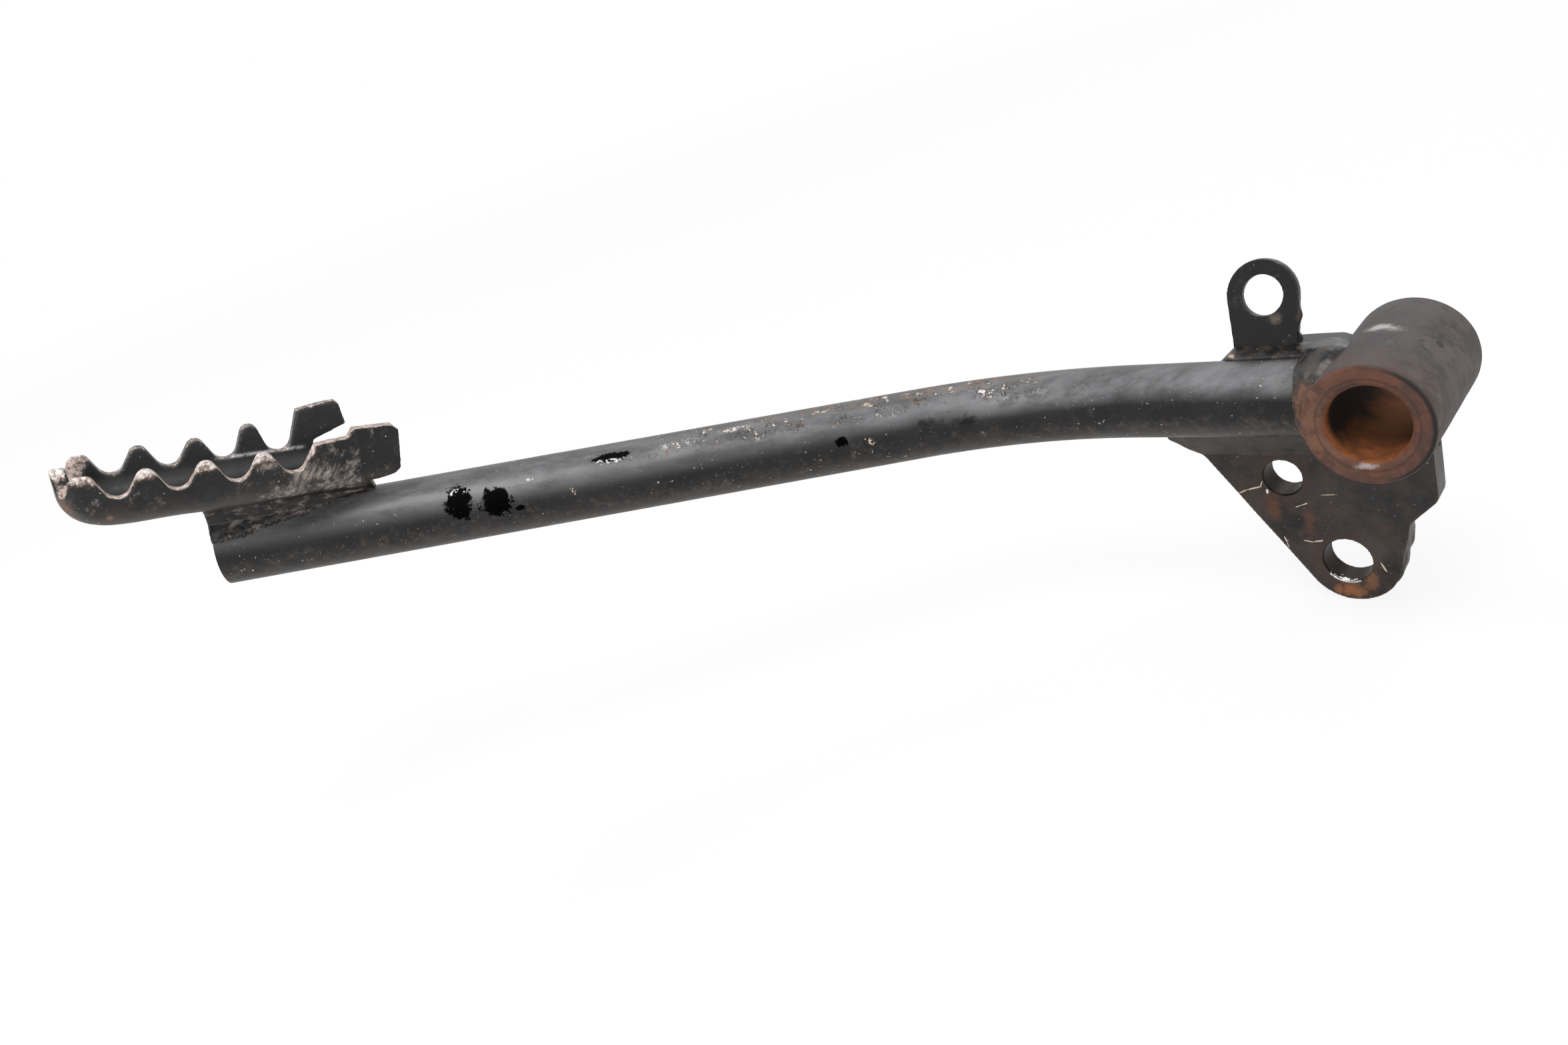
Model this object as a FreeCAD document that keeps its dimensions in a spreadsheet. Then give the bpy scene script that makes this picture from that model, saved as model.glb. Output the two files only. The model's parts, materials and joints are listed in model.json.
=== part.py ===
"""Welded foot brake pedal: pivot boss, bent tube arm, lever plate, spring tab and toothed tread.

Frame: origin on the pivot bore's axis at the middle of the boss, +Y along that axis away from the
tread, -X along the arm's root, +Z up through the tread.  All sizes in millimetres and degrees.
"""
import FreeCAD, Part
import math
import os
import Sketcher

doc = FreeCAD.newDocument("brake_pedal")
sheet = doc.addObject("Spreadsheet::Sheet", "Sizes")


# Driving dimensions

SIZES = {
    # pivot boss
    "boss_diameter": 22.2,
    "boss_length": 31.3,
    "bore_diameter": 14.0,
    "bore_mouth": 1.2,
    "boss_edge": 0.5,
    # tube arm, from the boss to the cut end under the tread
    "tube_diameter": 14.3,
    "tube_wall": 2.0,
    "arm_setback": 2.77,
    "root_run": 47.6,
    "bend_radius": 55.5,
    "bend_angle": 45.5,
    "bend_tilt": 11.94,
    "end_run": 142.3,
    # lever plate behind the arm's root: reaches run along X, drops down from the bore axis
    "plate_thickness": 6.0,
    "plate_head_reach": 29.0,
    "tail_reach": 46.5,
    "tail_drop": 7.8,
    "knee_reach": 38.4,
    "knee_drop": 16.0,
    "clevis_reach": 13.5,
    "clevis_drop": 38.3,
    "clevis_hole": 9.4,
    "lobe_reach": 12.6,
    "lobe_drop": 37.9,
    "lobe_radius": 9.2,
    "neck_reach": 1.2,
    "neck_drop": 29.8,
    "heel_reach": 4.2,
    "heel_drop": 24.8,
    "spring_reach": 23.7,
    "spring_drop": 20.3,
    "spring_hole": 7.6,
    "heel_radius": 2.2,
    "neck_radius": 2.0,
    "tail_radius": 3.0,
    # spring tab on the plate's top edge
    "tab_thickness": 1.6,
    "tab_reach": 23.0,
    "tab_base_width": 12.0,
    "tab_head_radius": 6.7,
    "tab_head_rise": 9.7,
    "tab_hole": 7.7,
    "tab_lean": 13.0,
    # tread: a pressed tray whose datum lies on the arm, near the rear edge of its floor
    "tread_setback": 26.26,
    "tread_yaw": 22.17,
    "tread_pitch": 4.78,
    "tread_roll": 8.0,
    "tread_lift": 1.75,
    "sheet_thickness": 2.6,
    "floor_width": 19.5,
    "wall_flare": 3.14,
    "wall_height": 15.0,
    "press_radius": 6.45,
    "nose_reach": 41.9,
    "floor_end": 0.9,
    "floor_skew": 0.34,
    # flanges behind the tread's teeth: heights above the underside, places along the tray
    "flange_front": 7.6,
    "near_flange_end": 7.8,
    "near_top_front": 11.1,
    "near_step_reach": 1.5,
    "near_step_height": 11.6,
    "near_step_rise": 1.6,
    "near_step_run": 0.9,
    "near_top_rear": 13.1,
    "near_corner": 1.1,
    "near_slit_start": 2.85,
    "near_slit_height": 2.2,
    "near_slit_rise": 0.9,
    "far_flange_end": 1.5,
    "far_last_tip_rise": 1.4,
    "far_top_front": 13.9,
    "far_crown_reach": 3.8,
    "far_crown_height": 14.6,
    "far_top_rear": 14.85,
    "far_corner": 0.6,
    "far_slit_start": 5.2,
    "far_slit_height": 7.65,
    "far_slit_rise": 2.45,
    # teeth along the tread's rim: rows by their length, roundings as shares of the pitch
    "tip_height": 10.7,
    "valley_height": 6.3,
    "side_row": 40.16,
    "side_first_tip": 46.96,
    "side_tip_share": 0.17,
    "side_valley_share": 0.24,
    "front_row": 16.6,
    "front_tip_share": 0.17,
    "front_valley_share": 0.205,
    # weld beads
    "boss_weld_toe": 3.2,
    "boss_weld_side": 1.5,
    "boss_weld_top": 2.3,
    "weld_gap": 0.05,
    "plate_weld": 2.6,
    "front_ring_begin_angle": 226.0,
    "front_ring_sweep_angle": 61.0,
    "back_ring_begin_angle": 73.0,
    "back_ring_sweep_angle": 129.0,
    "tab_weld": 2.0,
    "upper_bead_lip": 2.0,
    "upper_bead_root": 3.0,
    "lower_bead_lip": 1.9,
    "lower_bead_root": 3.0,
    "lower_bead_toe": 15.4,
    "lower_bead_start": 44.0,
    # web of weld between arm and tread: its section at the arm's cut end, in the arm's own frame
    "web_length": 31.0,
    "web_middle": 18.0,
    "web_middle_taper": 0.85,
    "web_taper": 0.35,
    "web_toe_side": 7.0,
    "web_toe_rise": 2.6,
    "web_waist_side": 5.6,
    "web_waist_rise": 6.0,
    "web_neck_side": 6.3,
    "web_neck_rise": 8.3,
    "web_lip_side": 10.0,
    "web_lip_rise": 12.6,
    "web_back_lip_side": 5.0,
    "web_back_lip_rise": 13.4,
    "web_back_toe_side": 4.0,
    "web_back_toe_rise": 5.6,
}
SIDE_VALLEY_COUNT = 4
FRONT_VALLEY_COUNT = 2
OVERCUT = 5.0
NEAR_ENOUGH = 1e-3
FLARE_OUT = True

for row, (alias, number) in enumerate(SIZES.items(), start=1):
    sheet.set(f"A{row}", alias)
    sheet.set(f"B{row}", str(number))
    sheet.setAlias(f"B{row}", alias)
doc.recompute()


# Helpers

def sized(expression):
    """Give each size's name in an expression its place in the sheet."""
    words = expression
    for alias in sorted(SIZES, key=len, reverse=True):
        words = words.replace("$" + alias, "Sizes." + alias)
    return words


def value(expression):
    """The number that an expression over the sheet stands for."""
    result = sheet.evalExpression(sized(expression))
    return float(getattr(result, "Value", result))


def bind(target, **expressions):
    """Tie properties of an object to the sheet."""
    for name, expression in expressions.items():
        target.setExpression(name, sized(expression))


def place(target, *steps):
    """Place an object by a chain of moves: each a tuple of position and rotation expressions."""
    chain = [f"placement(vector({x}; {y}; {z}); {turn})" for (x, y, z), turn in steps]
    target.setExpression("Placement", sized(" * ".join(chain)))


LEVEL = "rotation(vector(0; 0; 1); 0)"
ALONG_ARM = "rotation(vector(0; 1; 0); -90)"
ALONG_BORE = "rotation(vector(1; 0; 0); -90)"
FACING_TREAD = "rotation(vector(1; 0; 0); 90)"
ARM_ROOT = (("0", "-$arm_setback", "0"), "rotation(vector(1; 0; 0); -$bend_tilt)")
ARM_END = [
    ARM_ROOT,
    (("-$root_run - $bend_radius * sin($bend_angle)", "-$bend_radius * (1 - cos($bend_angle))", "0"),
     "rotation(vector(0; 0; 1); $bend_angle)"),
    (("-$end_run", "0", "0"), LEVEL),
]
TREAD_SEAT = (("$tread_setback", "0", "0"), "rotation($tread_yaw; $tread_pitch; $tread_roll)")
TREAD_DATUM = ARM_END + [TREAD_SEAT, (("0", "0", "$tube_diameter / 2 + $tread_lift"), LEVEL)]
PLATE_FRONT = "$tube_diameter / 2 - $arm_setback"
PLATE_TOP = "$tube_diameter / 2"


def new_body(label):
    body = doc.addObject("PartDesign::Body", label)
    body.Label = label
    return body


def plane_of(body, role):
    return next(item for item in body.Origin.OriginFeatures if item.Role == role)


def new_sketch(body, name, role, shift="0"):
    """A sketch on one of the body's own planes, shifted along that plane's normal."""
    sketch = body.newObject("Sketcher::SketchObject", name)
    sketch.AttachmentSupport = (plane_of(body, role), [""])
    sketch.MapMode = "FlatFace"
    sketch.setExpression("AttachmentOffset.Base.z", sized(shift))
    return sketch


def dimension(sketch, kind, where, expression):
    """Add one driving constraint and tie it to the sheet."""
    index = sketch.addConstraint(Sketcher.Constraint(kind, *where, value(expression)))
    sketch.setExpression(f"Constraints[{index}]", sized(expression))


def pin(sketch, geometry, point, across, up):
    """Fix a point of the sketch from its origin."""
    dimension(sketch, "DistanceX", (-1, 1, geometry, point), across)
    dimension(sketch, "DistanceY", (-1, 1, geometry, point), up)


def flat(across, up):
    return FreeCAD.Vector(across, up, 0)


def at(point):
    return flat(value(point[0]), value(point[1]))


def add_circle(sketch, centre, radius):
    circle = Part.Circle(at(centre), FreeCAD.Vector(0, 0, 1), value(radius))
    index = sketch.addGeometry(circle)
    pin(sketch, index, 3, *centre)
    dimension(sketch, "Radius", (index,), radius)
    return index


def add_chain(sketch, points, closed=True):
    """Straight edges through pinned points."""
    ends = points[1:] + points[:1] if closed else points[1:]
    lines = [sketch.addGeometry(Part.LineSegment(at(a), at(b))) for a, b in zip(points, ends)]
    for line, after in zip(lines, lines[1:]):
        sketch.addConstraint(Sketcher.Constraint("Coincident", line, 2, after, 1))
    if closed:
        sketch.addConstraint(Sketcher.Constraint("Coincident", lines[-1], 2, lines[0], 1))
    for line, point in zip(lines, points):
        pin(sketch, line, 1, *point)
    if not closed:
        pin(sketch, lines[-1], 2, *points[-1])
    return lines


def pad(body, sketch, length, reverse=False, symmetric=False):
    feature = body.newObject("PartDesign::Pad", sketch.Name + "_pad")
    feature.Profile = sketch
    feature.Reversed = reverse
    feature.SideType = "Symmetric" if symmetric else "One side"
    bind(feature, Length=length)
    doc.recompute()
    return feature


def pocket(body, sketch, length, reverse=False, symmetric=False):
    """Cut a sketch away, and make sure that the cut reached the solid."""
    before = body.Shape.Volume
    feature = body.newObject("PartDesign::Pocket", sketch.Name + "_pocket")
    feature.Profile = sketch
    feature.Reversed = reverse
    feature.SideType = "Symmetric" if symmetric else "One side"
    bind(feature, Length=length)
    doc.recompute()
    if not body.Shape.Volume < before:
        raise RuntimeError(f"{feature.Name} cuts nothing")
    return feature


def dress(body, kind, name, chosen, **expressions):
    """Fillet or chamfer the edges of the body's last shape that fit a test."""
    base = body.Tip
    names = [f"Edge{i}" for i, edge in enumerate(base.Shape.Edges, start=1) if chosen(edge)]
    if not names:
        raise RuntimeError(f"{name} finds no edge")
    feature = body.newObject("PartDesign::" + kind, name)
    feature.Base = (base, names)
    bind(feature, **expressions)
    doc.recompute()
    return feature


def is_ring(edge, radius):
    return isinstance(edge.Curve, Part.Circle) and abs(edge.Curve.Radius - radius) < NEAR_ENOUGH


def stands_at(edge, across, up):
    """Whether an edge runs along Y through a place in the XZ plane."""
    middle = edge.CenterOfMass
    span = edge.BoundBox
    upright = max(span.XLength, span.ZLength) < NEAR_ENOUGH
    return upright and math.hypot(middle.x - value(across), middle.z - value(up)) < NEAR_ENOUGH


def cut(label, base, *tools):
    """Take solids away from a base, one after another; the last cut carries the label."""
    result = base
    for number, tool in enumerate(tools):
        step = doc.addObject("Part::Cut", f"{label}_cut{number}")
        step.Base = result
        step.Tool = tool
        doc.recompute()
        result = step
    result.Label = label
    return result


def rod(name, radius, length, *steps):
    """A plain cylinder placed by a chain of moves."""
    cylinder = doc.addObject("Part::Cylinder", name)
    bind(cylinder, Radius=radius, Height=length)
    place(cylinder, *steps)
    doc.recompute()
    return cylinder


# Pivot boss: a thick ring with broken edges

def make_boss():
    body = new_body("pivot_boss")
    ring = new_sketch(body, "boss_ring", "XZ_Plane")
    add_circle(ring, ("0", "0"), "$boss_diameter / 2")
    add_circle(ring, ("0", "0"), "$bore_diameter / 2")
    pad(body, ring, "$boss_length", symmetric=True)
    bore = value("$bore_diameter / 2")
    rim = value("$boss_diameter / 2")
    dress(body, "Chamfer", "bore_mouths", lambda edge: is_ring(edge, bore), Size="$bore_mouth")
    dress(body, "Chamfer", "boss_edges", lambda edge: is_ring(edge, rim), Size="$boss_edge")
    return body


# Arm: a round tube with one bend, coped to the boss at its root

def make_arm():
    body = new_body("arm_tube")
    route = new_sketch(body, "arm_route", "XY_Plane")
    about_x = FreeCAD.Rotation(FreeCAD.Vector(1, 0, 0), -1)
    route.AttachmentOffset = FreeCAD.Placement(FreeCAD.Vector(), about_x)
    route.setExpression("AttachmentOffset.Base.y", sized("-$arm_setback"))
    route.setExpression("AttachmentOffset.Rotation.Angle", sized("-$bend_tilt"))
    radius = value("$bend_radius")
    turn = math.radians(value("$bend_angle"))
    start = flat(-value("$root_run"), 0)
    middle = start + flat(0, -radius)
    bend_end = middle + flat(-math.sin(turn), math.cos(turn)) * radius
    end = bend_end + flat(-math.cos(turn), -math.sin(turn)) * value("$end_run")
    root = route.addGeometry(Part.LineSegment(flat(0, 0), start))
    circle = Part.Circle(middle, FreeCAD.Vector(0, 0, 1), radius)
    bend = route.addGeometry(Part.ArcOfCircle(circle, math.pi / 2, math.pi / 2 + turn))
    run = route.addGeometry(Part.LineSegment(bend_end, end))
    route.addConstraint(Sketcher.Constraint("Coincident", root, 1, -1, 1))
    route.addConstraint(Sketcher.Constraint("Horizontal", root))
    dimension(route, "Distance", (root,), "$root_run")
    route.addConstraint(Sketcher.Constraint("Tangent", root, 2, bend, 1))
    dimension(route, "Radius", (bend,), "$bend_radius")
    route.addConstraint(Sketcher.Constraint("Tangent", bend, 2, run, 1))
    dimension(route, "Distance", (run,), "$end_run")
    dimension(route, "DistanceY", (run, 2, run, 1), "$end_run * sin($bend_angle)")

    section = new_sketch(body, "tube_section", "YZ_Plane")
    add_circle(section, ("-$arm_setback", "0"), "$tube_diameter / 2")
    add_circle(section, ("-$arm_setback", "0"), "$tube_diameter / 2 - $tube_wall")
    doc.recompute()
    sweep = body.newObject("PartDesign::AdditivePipe", "arm_sweep")
    sweep.Profile = section
    sweep.Spine = route
    doc.recompute()

    cope = new_sketch(body, "boss_cope", "XZ_Plane")
    add_circle(cope, ("0", "0"), "$boss_diameter / 2")
    pocket(body, cope, "$boss_length * 2", symmetric=True)
    return body


# Lever plate: a flat cut plate behind the arm, notched to the boss

def make_plate():
    body = new_body("lever_plate")
    outline = new_sketch(body, "plate_outline", "XZ_Plane", "-(" + PLATE_FRONT + ")")
    corners = [
        ("-$knee_reach", "-$knee_drop"),
        ("-$tail_reach", "-$tail_drop"),
        ("-$plate_head_reach", PLATE_TOP),
        ("$heel_reach", PLATE_TOP),
        ("$heel_reach", "-$heel_drop"),
        ("-$neck_reach", "-$neck_drop"),
    ]
    edges = add_chain(outline, corners, closed=False)
    centre = at(("-$lobe_reach", "-$lobe_drop"))
    radius = value("$lobe_radius")

    def tangent_angle(corner, side):
        """Where on the lobe a straight edge from a corner ends."""
        away = at(corner) - centre
        return math.atan2(away.y, away.x) + side * math.acos(radius / away.Length)

    first = tangent_angle(corners[0], 1)
    last = tangent_angle(corners[-1], -1)
    while last < first:
        last += 2 * math.pi
    circle = Part.Circle(centre, FreeCAD.Vector(0, 0, 1), radius)
    lobe = outline.addGeometry(Part.ArcOfCircle(circle, first, last))
    touch = [centre + flat(math.cos(a), math.sin(a)) * radius for a in (first, last)]
    front_edge = outline.addGeometry(Part.LineSegment(touch[0], at(corners[0])))
    rear_edge = outline.addGeometry(Part.LineSegment(at(corners[-1]), touch[1]))
    pin(outline, lobe, 3, "-$lobe_reach", "-$lobe_drop")
    dimension(outline, "Radius", (lobe,), "$lobe_radius")
    outline.addConstraint(Sketcher.Constraint("Coincident", front_edge, 2, edges[0], 1))
    outline.addConstraint(Sketcher.Constraint("Coincident", rear_edge, 1, edges[-1], 2))
    outline.addConstraint(Sketcher.Constraint("Tangent", lobe, 1, front_edge, 1))
    outline.addConstraint(Sketcher.Constraint("Tangent", rear_edge, 2, lobe, 2))
    add_circle(outline, ("-$clevis_reach", "-$clevis_drop"), "$clevis_hole / 2")
    add_circle(outline, ("-$spring_reach", "-$spring_drop"), "$spring_hole / 2")
    pad(body, outline, "$plate_thickness", reverse=True)

    for name, (across, up), size in (
        ("tail_round", corners[1], "$tail_radius"),
        ("heel_round", corners[4], "$heel_radius"),
        ("neck_round", corners[5], "$neck_radius"),
    ):
        dress(body, "Fillet", name, lambda edge: stands_at(edge, across, up), Radius=size)
    notch = new_sketch(body, "boss_notch", "XZ_Plane")
    add_circle(notch, ("0", "0"), "$boss_diameter / 2")
    pocket(body, notch, "$boss_length * 2", symmetric=True)
    return body


# Spring tab: a thin eye that leans back from the plate's top edge

def make_tab():
    body = new_body("spring_tab")
    outline = new_sketch(body, "tab_outline", "XZ_Plane")
    centre = at(("0", "$tab_head_rise"))
    radius = value("$tab_head_radius")
    foot = value("$tab_base_width / 2")
    away = flat(foot, 0) - centre
    right = math.atan2(away.y, away.x) + math.acos(radius / away.Length)
    touch = [centre + flat(side * math.cos(right), math.sin(right)) * radius for side in (1, -1)]
    circle = Part.Circle(centre, FreeCAD.Vector(0, 0, 1), radius)
    head = outline.addGeometry(Part.ArcOfCircle(circle, right, math.pi - right))
    base = outline.addGeometry(Part.LineSegment(flat(-foot, 0), flat(foot, 0)))
    right_side = outline.addGeometry(Part.LineSegment(flat(foot, 0), touch[0]))
    left_side = outline.addGeometry(Part.LineSegment(touch[1], flat(-foot, 0)))
    pin(outline, head, 3, "0", "$tab_head_rise")
    dimension(outline, "Radius", (head,), "$tab_head_radius")
    pin(outline, base, 1, "-$tab_base_width / 2", "0")
    pin(outline, base, 2, "$tab_base_width / 2", "0")
    outline.addConstraint(Sketcher.Constraint("Coincident", base, 2, right_side, 1))
    outline.addConstraint(Sketcher.Constraint("Coincident", left_side, 2, base, 1))
    outline.addConstraint(Sketcher.Constraint("Tangent", right_side, 2, head, 1))
    outline.addConstraint(Sketcher.Constraint("Tangent", head, 2, left_side, 1))
    add_circle(outline, ("0", "$tab_head_rise"), "$tab_hole / 2")
    pad(body, outline, "$tab_thickness", reverse=True)
    foot_slope = new_sketch(body, "foot_slope", "YZ_Plane")
    past = f"($tab_thickness + {OVERCUT})"
    add_chain(foot_slope, [("0", "0"), (past, "0"), (past, f"{past} * tan($tab_lean)")])
    pocket(body, foot_slope, "$tab_base_width * 2", symmetric=True)
    place(body, (("-$tab_reach", PLATE_FRONT, PLATE_TOP), "rotation(vector(1; 0; 0); -$tab_lean)"))
    doc.recompute()
    return body


# Tread: a pressed tray with flared, toothed walls, open at the rear

def tray_plan(body):
    """The tray's plan at its underside: straight walls and a round nose, run out past the rear."""
    sketch = new_sketch(body, "tray_plan", "XY_Plane")
    half = "$floor_width / 2"
    rear = f"$near_flange_end + {OVERCUT}"
    nose = flat(-value("$nose_reach"), 0)
    side = flat(0, value(half))
    end = flat(value(rear), 0)
    near = sketch.addGeometry(Part.LineSegment(end - side, nose - side))
    circle = Part.Circle(nose, FreeCAD.Vector(0, 0, 1), value(half))
    front = sketch.addGeometry(Part.ArcOfCircle(circle, math.pi / 2, 3 * math.pi / 2))
    far = sketch.addGeometry(Part.LineSegment(nose + side, end + side))
    back = sketch.addGeometry(Part.LineSegment(end + side, end - side))
    pin(sketch, front, 3, "-$nose_reach", "0")
    dimension(sketch, "Radius", (front,), half)
    sketch.addConstraint(Sketcher.Constraint("Tangent", near, 2, front, 2))
    sketch.addConstraint(Sketcher.Constraint("Tangent", front, 1, far, 1))
    sketch.addConstraint(Sketcher.Constraint("Coincident", far, 2, back, 1))
    sketch.addConstraint(Sketcher.Constraint("Coincident", back, 2, near, 1))
    sketch.addConstraint(Sketcher.Constraint("Horizontal", near))
    sketch.addConstraint(Sketcher.Constraint("Horizontal", far))
    sketch.addConstraint(Sketcher.Constraint("Vertical", back))
    dimension(sketch, "DistanceX", (-1, 1, back, 1), rear)
    return sketch


def face_names(shape, chosen):
    return [f"Face{i}" for i, face in enumerate(shape.Faces, start=1) if chosen(face)]


def press_tray(body):
    """Raise the plan, flare its walls, round its underside and hollow it to the sheet."""
    block = pad(body, tray_plan(body), "$wall_height")

    def is_wall(face):
        across = face.BoundBox
        return across.ZLength > value("$wall_height / 2") and across.XMin < 0

    def is_mouth(face):
        span = face.BoundBox
        return span.ZMin > value("$wall_height") - NEAR_ENOUGH or span.XMin > value("$near_flange_end")

    flare = body.newObject("PartDesign::Draft", "wall_draft")
    flare.Base = (block, face_names(block.Shape, is_wall))
    flare.NeutralPlane = (plane_of(body, "XY_Plane"), [""])
    flare.Reversed = FLARE_OUT
    bind(flare, Angle="$wall_flare")
    doc.recompute()
    bend = dress(body, "Fillet", "tray_bend",
                 lambda edge: edge.BoundBox.ZMax < NEAR_ENOUGH and edge.BoundBox.XMin < 0,
                 Radius="$press_radius")
    hollow = body.newObject("PartDesign::Thickness", "tray_sheet")
    hollow.Base = (bend, face_names(bend.Shape, is_mouth))
    hollow.Reversed = True
    bind(hollow, Value="$sheet_thickness")
    doc.recompute()


def tooth_outline(sketch, first, pitch, gaps, tip, valley, top, ridge=(), last_rise="0"):
    """Everything above a row of teeth: round tips and valleys joined by tangent flanks.

    The row starts level with the crown of its first tooth.  It ends level with the crown of its
    last tooth or, where a ridge is given, on a flank that rises to the ridge and follows it.
    """
    def centre(step, round_tip):
        if not round_tip:
            height = f"$valley_height + {valley}"
        elif ridge and step == gaps - 1:
            height = f"$tip_height + {last_rise} - {tip}"
        else:
            height = f"$tip_height - {tip}"
        return (f"{first} + {step} * {pitch}", height)

    def shelf(crown_arc, crown_end, crown_place, outer_place):
        """A level edge from a crown out past the row, and an upright one from there to the top."""
        corner = at((outer_place, "$tip_height"))
        level = sketch.addGeometry(Part.LineSegment(end_of(crown_arc, crown_end), corner))
        sketch.addConstraint(Sketcher.Constraint("Coincident", level, 1, crown_arc, crown_end))
        dimension(sketch, "DistanceX", (-1, 1, level, 1), crown_place)
        sketch.addConstraint(Sketcher.Constraint("Horizontal", level))
        dimension(sketch, "DistanceX", (-1, 1, level, 2), outer_place)
        upright = sketch.addGeometry(Part.LineSegment(end_of(level, 2), at((outer_place, top))))
        sketch.addConstraint(Sketcher.Constraint("Coincident", upright, 1, level, 2))
        sketch.addConstraint(Sketcher.Constraint("Vertical", upright))
        return upright

    def arc(step, round_tip, begin, finish):
        size = tip if round_tip else valley
        middle = centre(step, round_tip)
        circle = Part.Circle(at(middle), FreeCAD.Vector(0, 0, 1), value(size))
        index = sketch.addGeometry(Part.ArcOfCircle(circle, begin, finish))
        pin(sketch, index, 3, *middle)
        dimension(sketch, "Radius", (index,), size)
        return index

    def end_of(index, point):
        return sketch.getPoint(index, point)

    def join(a, a_end, b, b_end):
        line = sketch.addGeometry(Part.LineSegment(end_of(a, a_end), end_of(b, b_end)))
        sketch.addConstraint(Sketcher.Constraint("Tangent", a, a_end, line, 1))
        sketch.addConstraint(Sketcher.Constraint("Tangent", line, 2, b, b_end))

    apart = at(centre(0.5, False)) - at(centre(0, True))
    tilt = math.atan2(apart.y, apart.x)
    lean = math.acos((value(tip) + value(valley)) / apart.Length) + tilt
    crown = math.pi / 2
    opened = len(ridge) > 0
    tips = []
    for step in range(gaps if opened else gaps + 1):
        begin = crown if step == gaps else lean
        finish = crown if step == 0 else math.pi - lean
        tips.append(arc(step, True, begin, finish))
    valleys = []
    for step in range(gaps):
        finish = 2 * math.pi - lean
        if opened and step == gaps - 1:
            rise = at(ridge[0]) - at(centre(step + 0.5, False))
            finish = math.atan2(rise.y, rise.x) - math.acos(value(valley) / rise.Length) + 2 * math.pi
        valleys.append(arc(step + 0.5, False, math.pi + lean, finish))
    for step, low in enumerate(valleys):
        join(tips[step], 1, low, 1)
        if step + 1 < len(tips):
            join(low, 2, tips[step + 1], 2)

    left = shelf(tips[0], 2, first, f"{first} - $floor_width")
    dimension(sketch, "DistanceY", (-1, 1, left, 2), top)
    if opened:
        right = sketch.addGeometry(Part.LineSegment(end_of(valleys[-1], 2), at(ridge[0])))
        sketch.addConstraint(Sketcher.Constraint("Tangent", valleys[-1], 2, right, 1))
        pin(sketch, right, 2, *ridge[0])
        for here, there in zip(ridge, ridge[1:]):
            after = sketch.addGeometry(Part.LineSegment(at(here), at(there)))
            sketch.addConstraint(Sketcher.Constraint("Coincident", right, 2, after, 1))
            pin(sketch, after, 2, *there)
            right = after
    else:
        last = f"{first} + {gaps} * {pitch}"
        right = shelf(tips[-1], 1, last, f"{last} + $floor_width")
    roof = sketch.addGeometry(Part.LineSegment(end_of(left, 2), end_of(right, 2)))
    sketch.addConstraint(Sketcher.Constraint("Coincident", roof, 1, left, 2))
    sketch.addConstraint(Sketcher.Constraint("Coincident", roof, 2, right, 2))
    if not opened:
        sketch.addConstraint(Sketcher.Constraint("Horizontal", roof))


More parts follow.
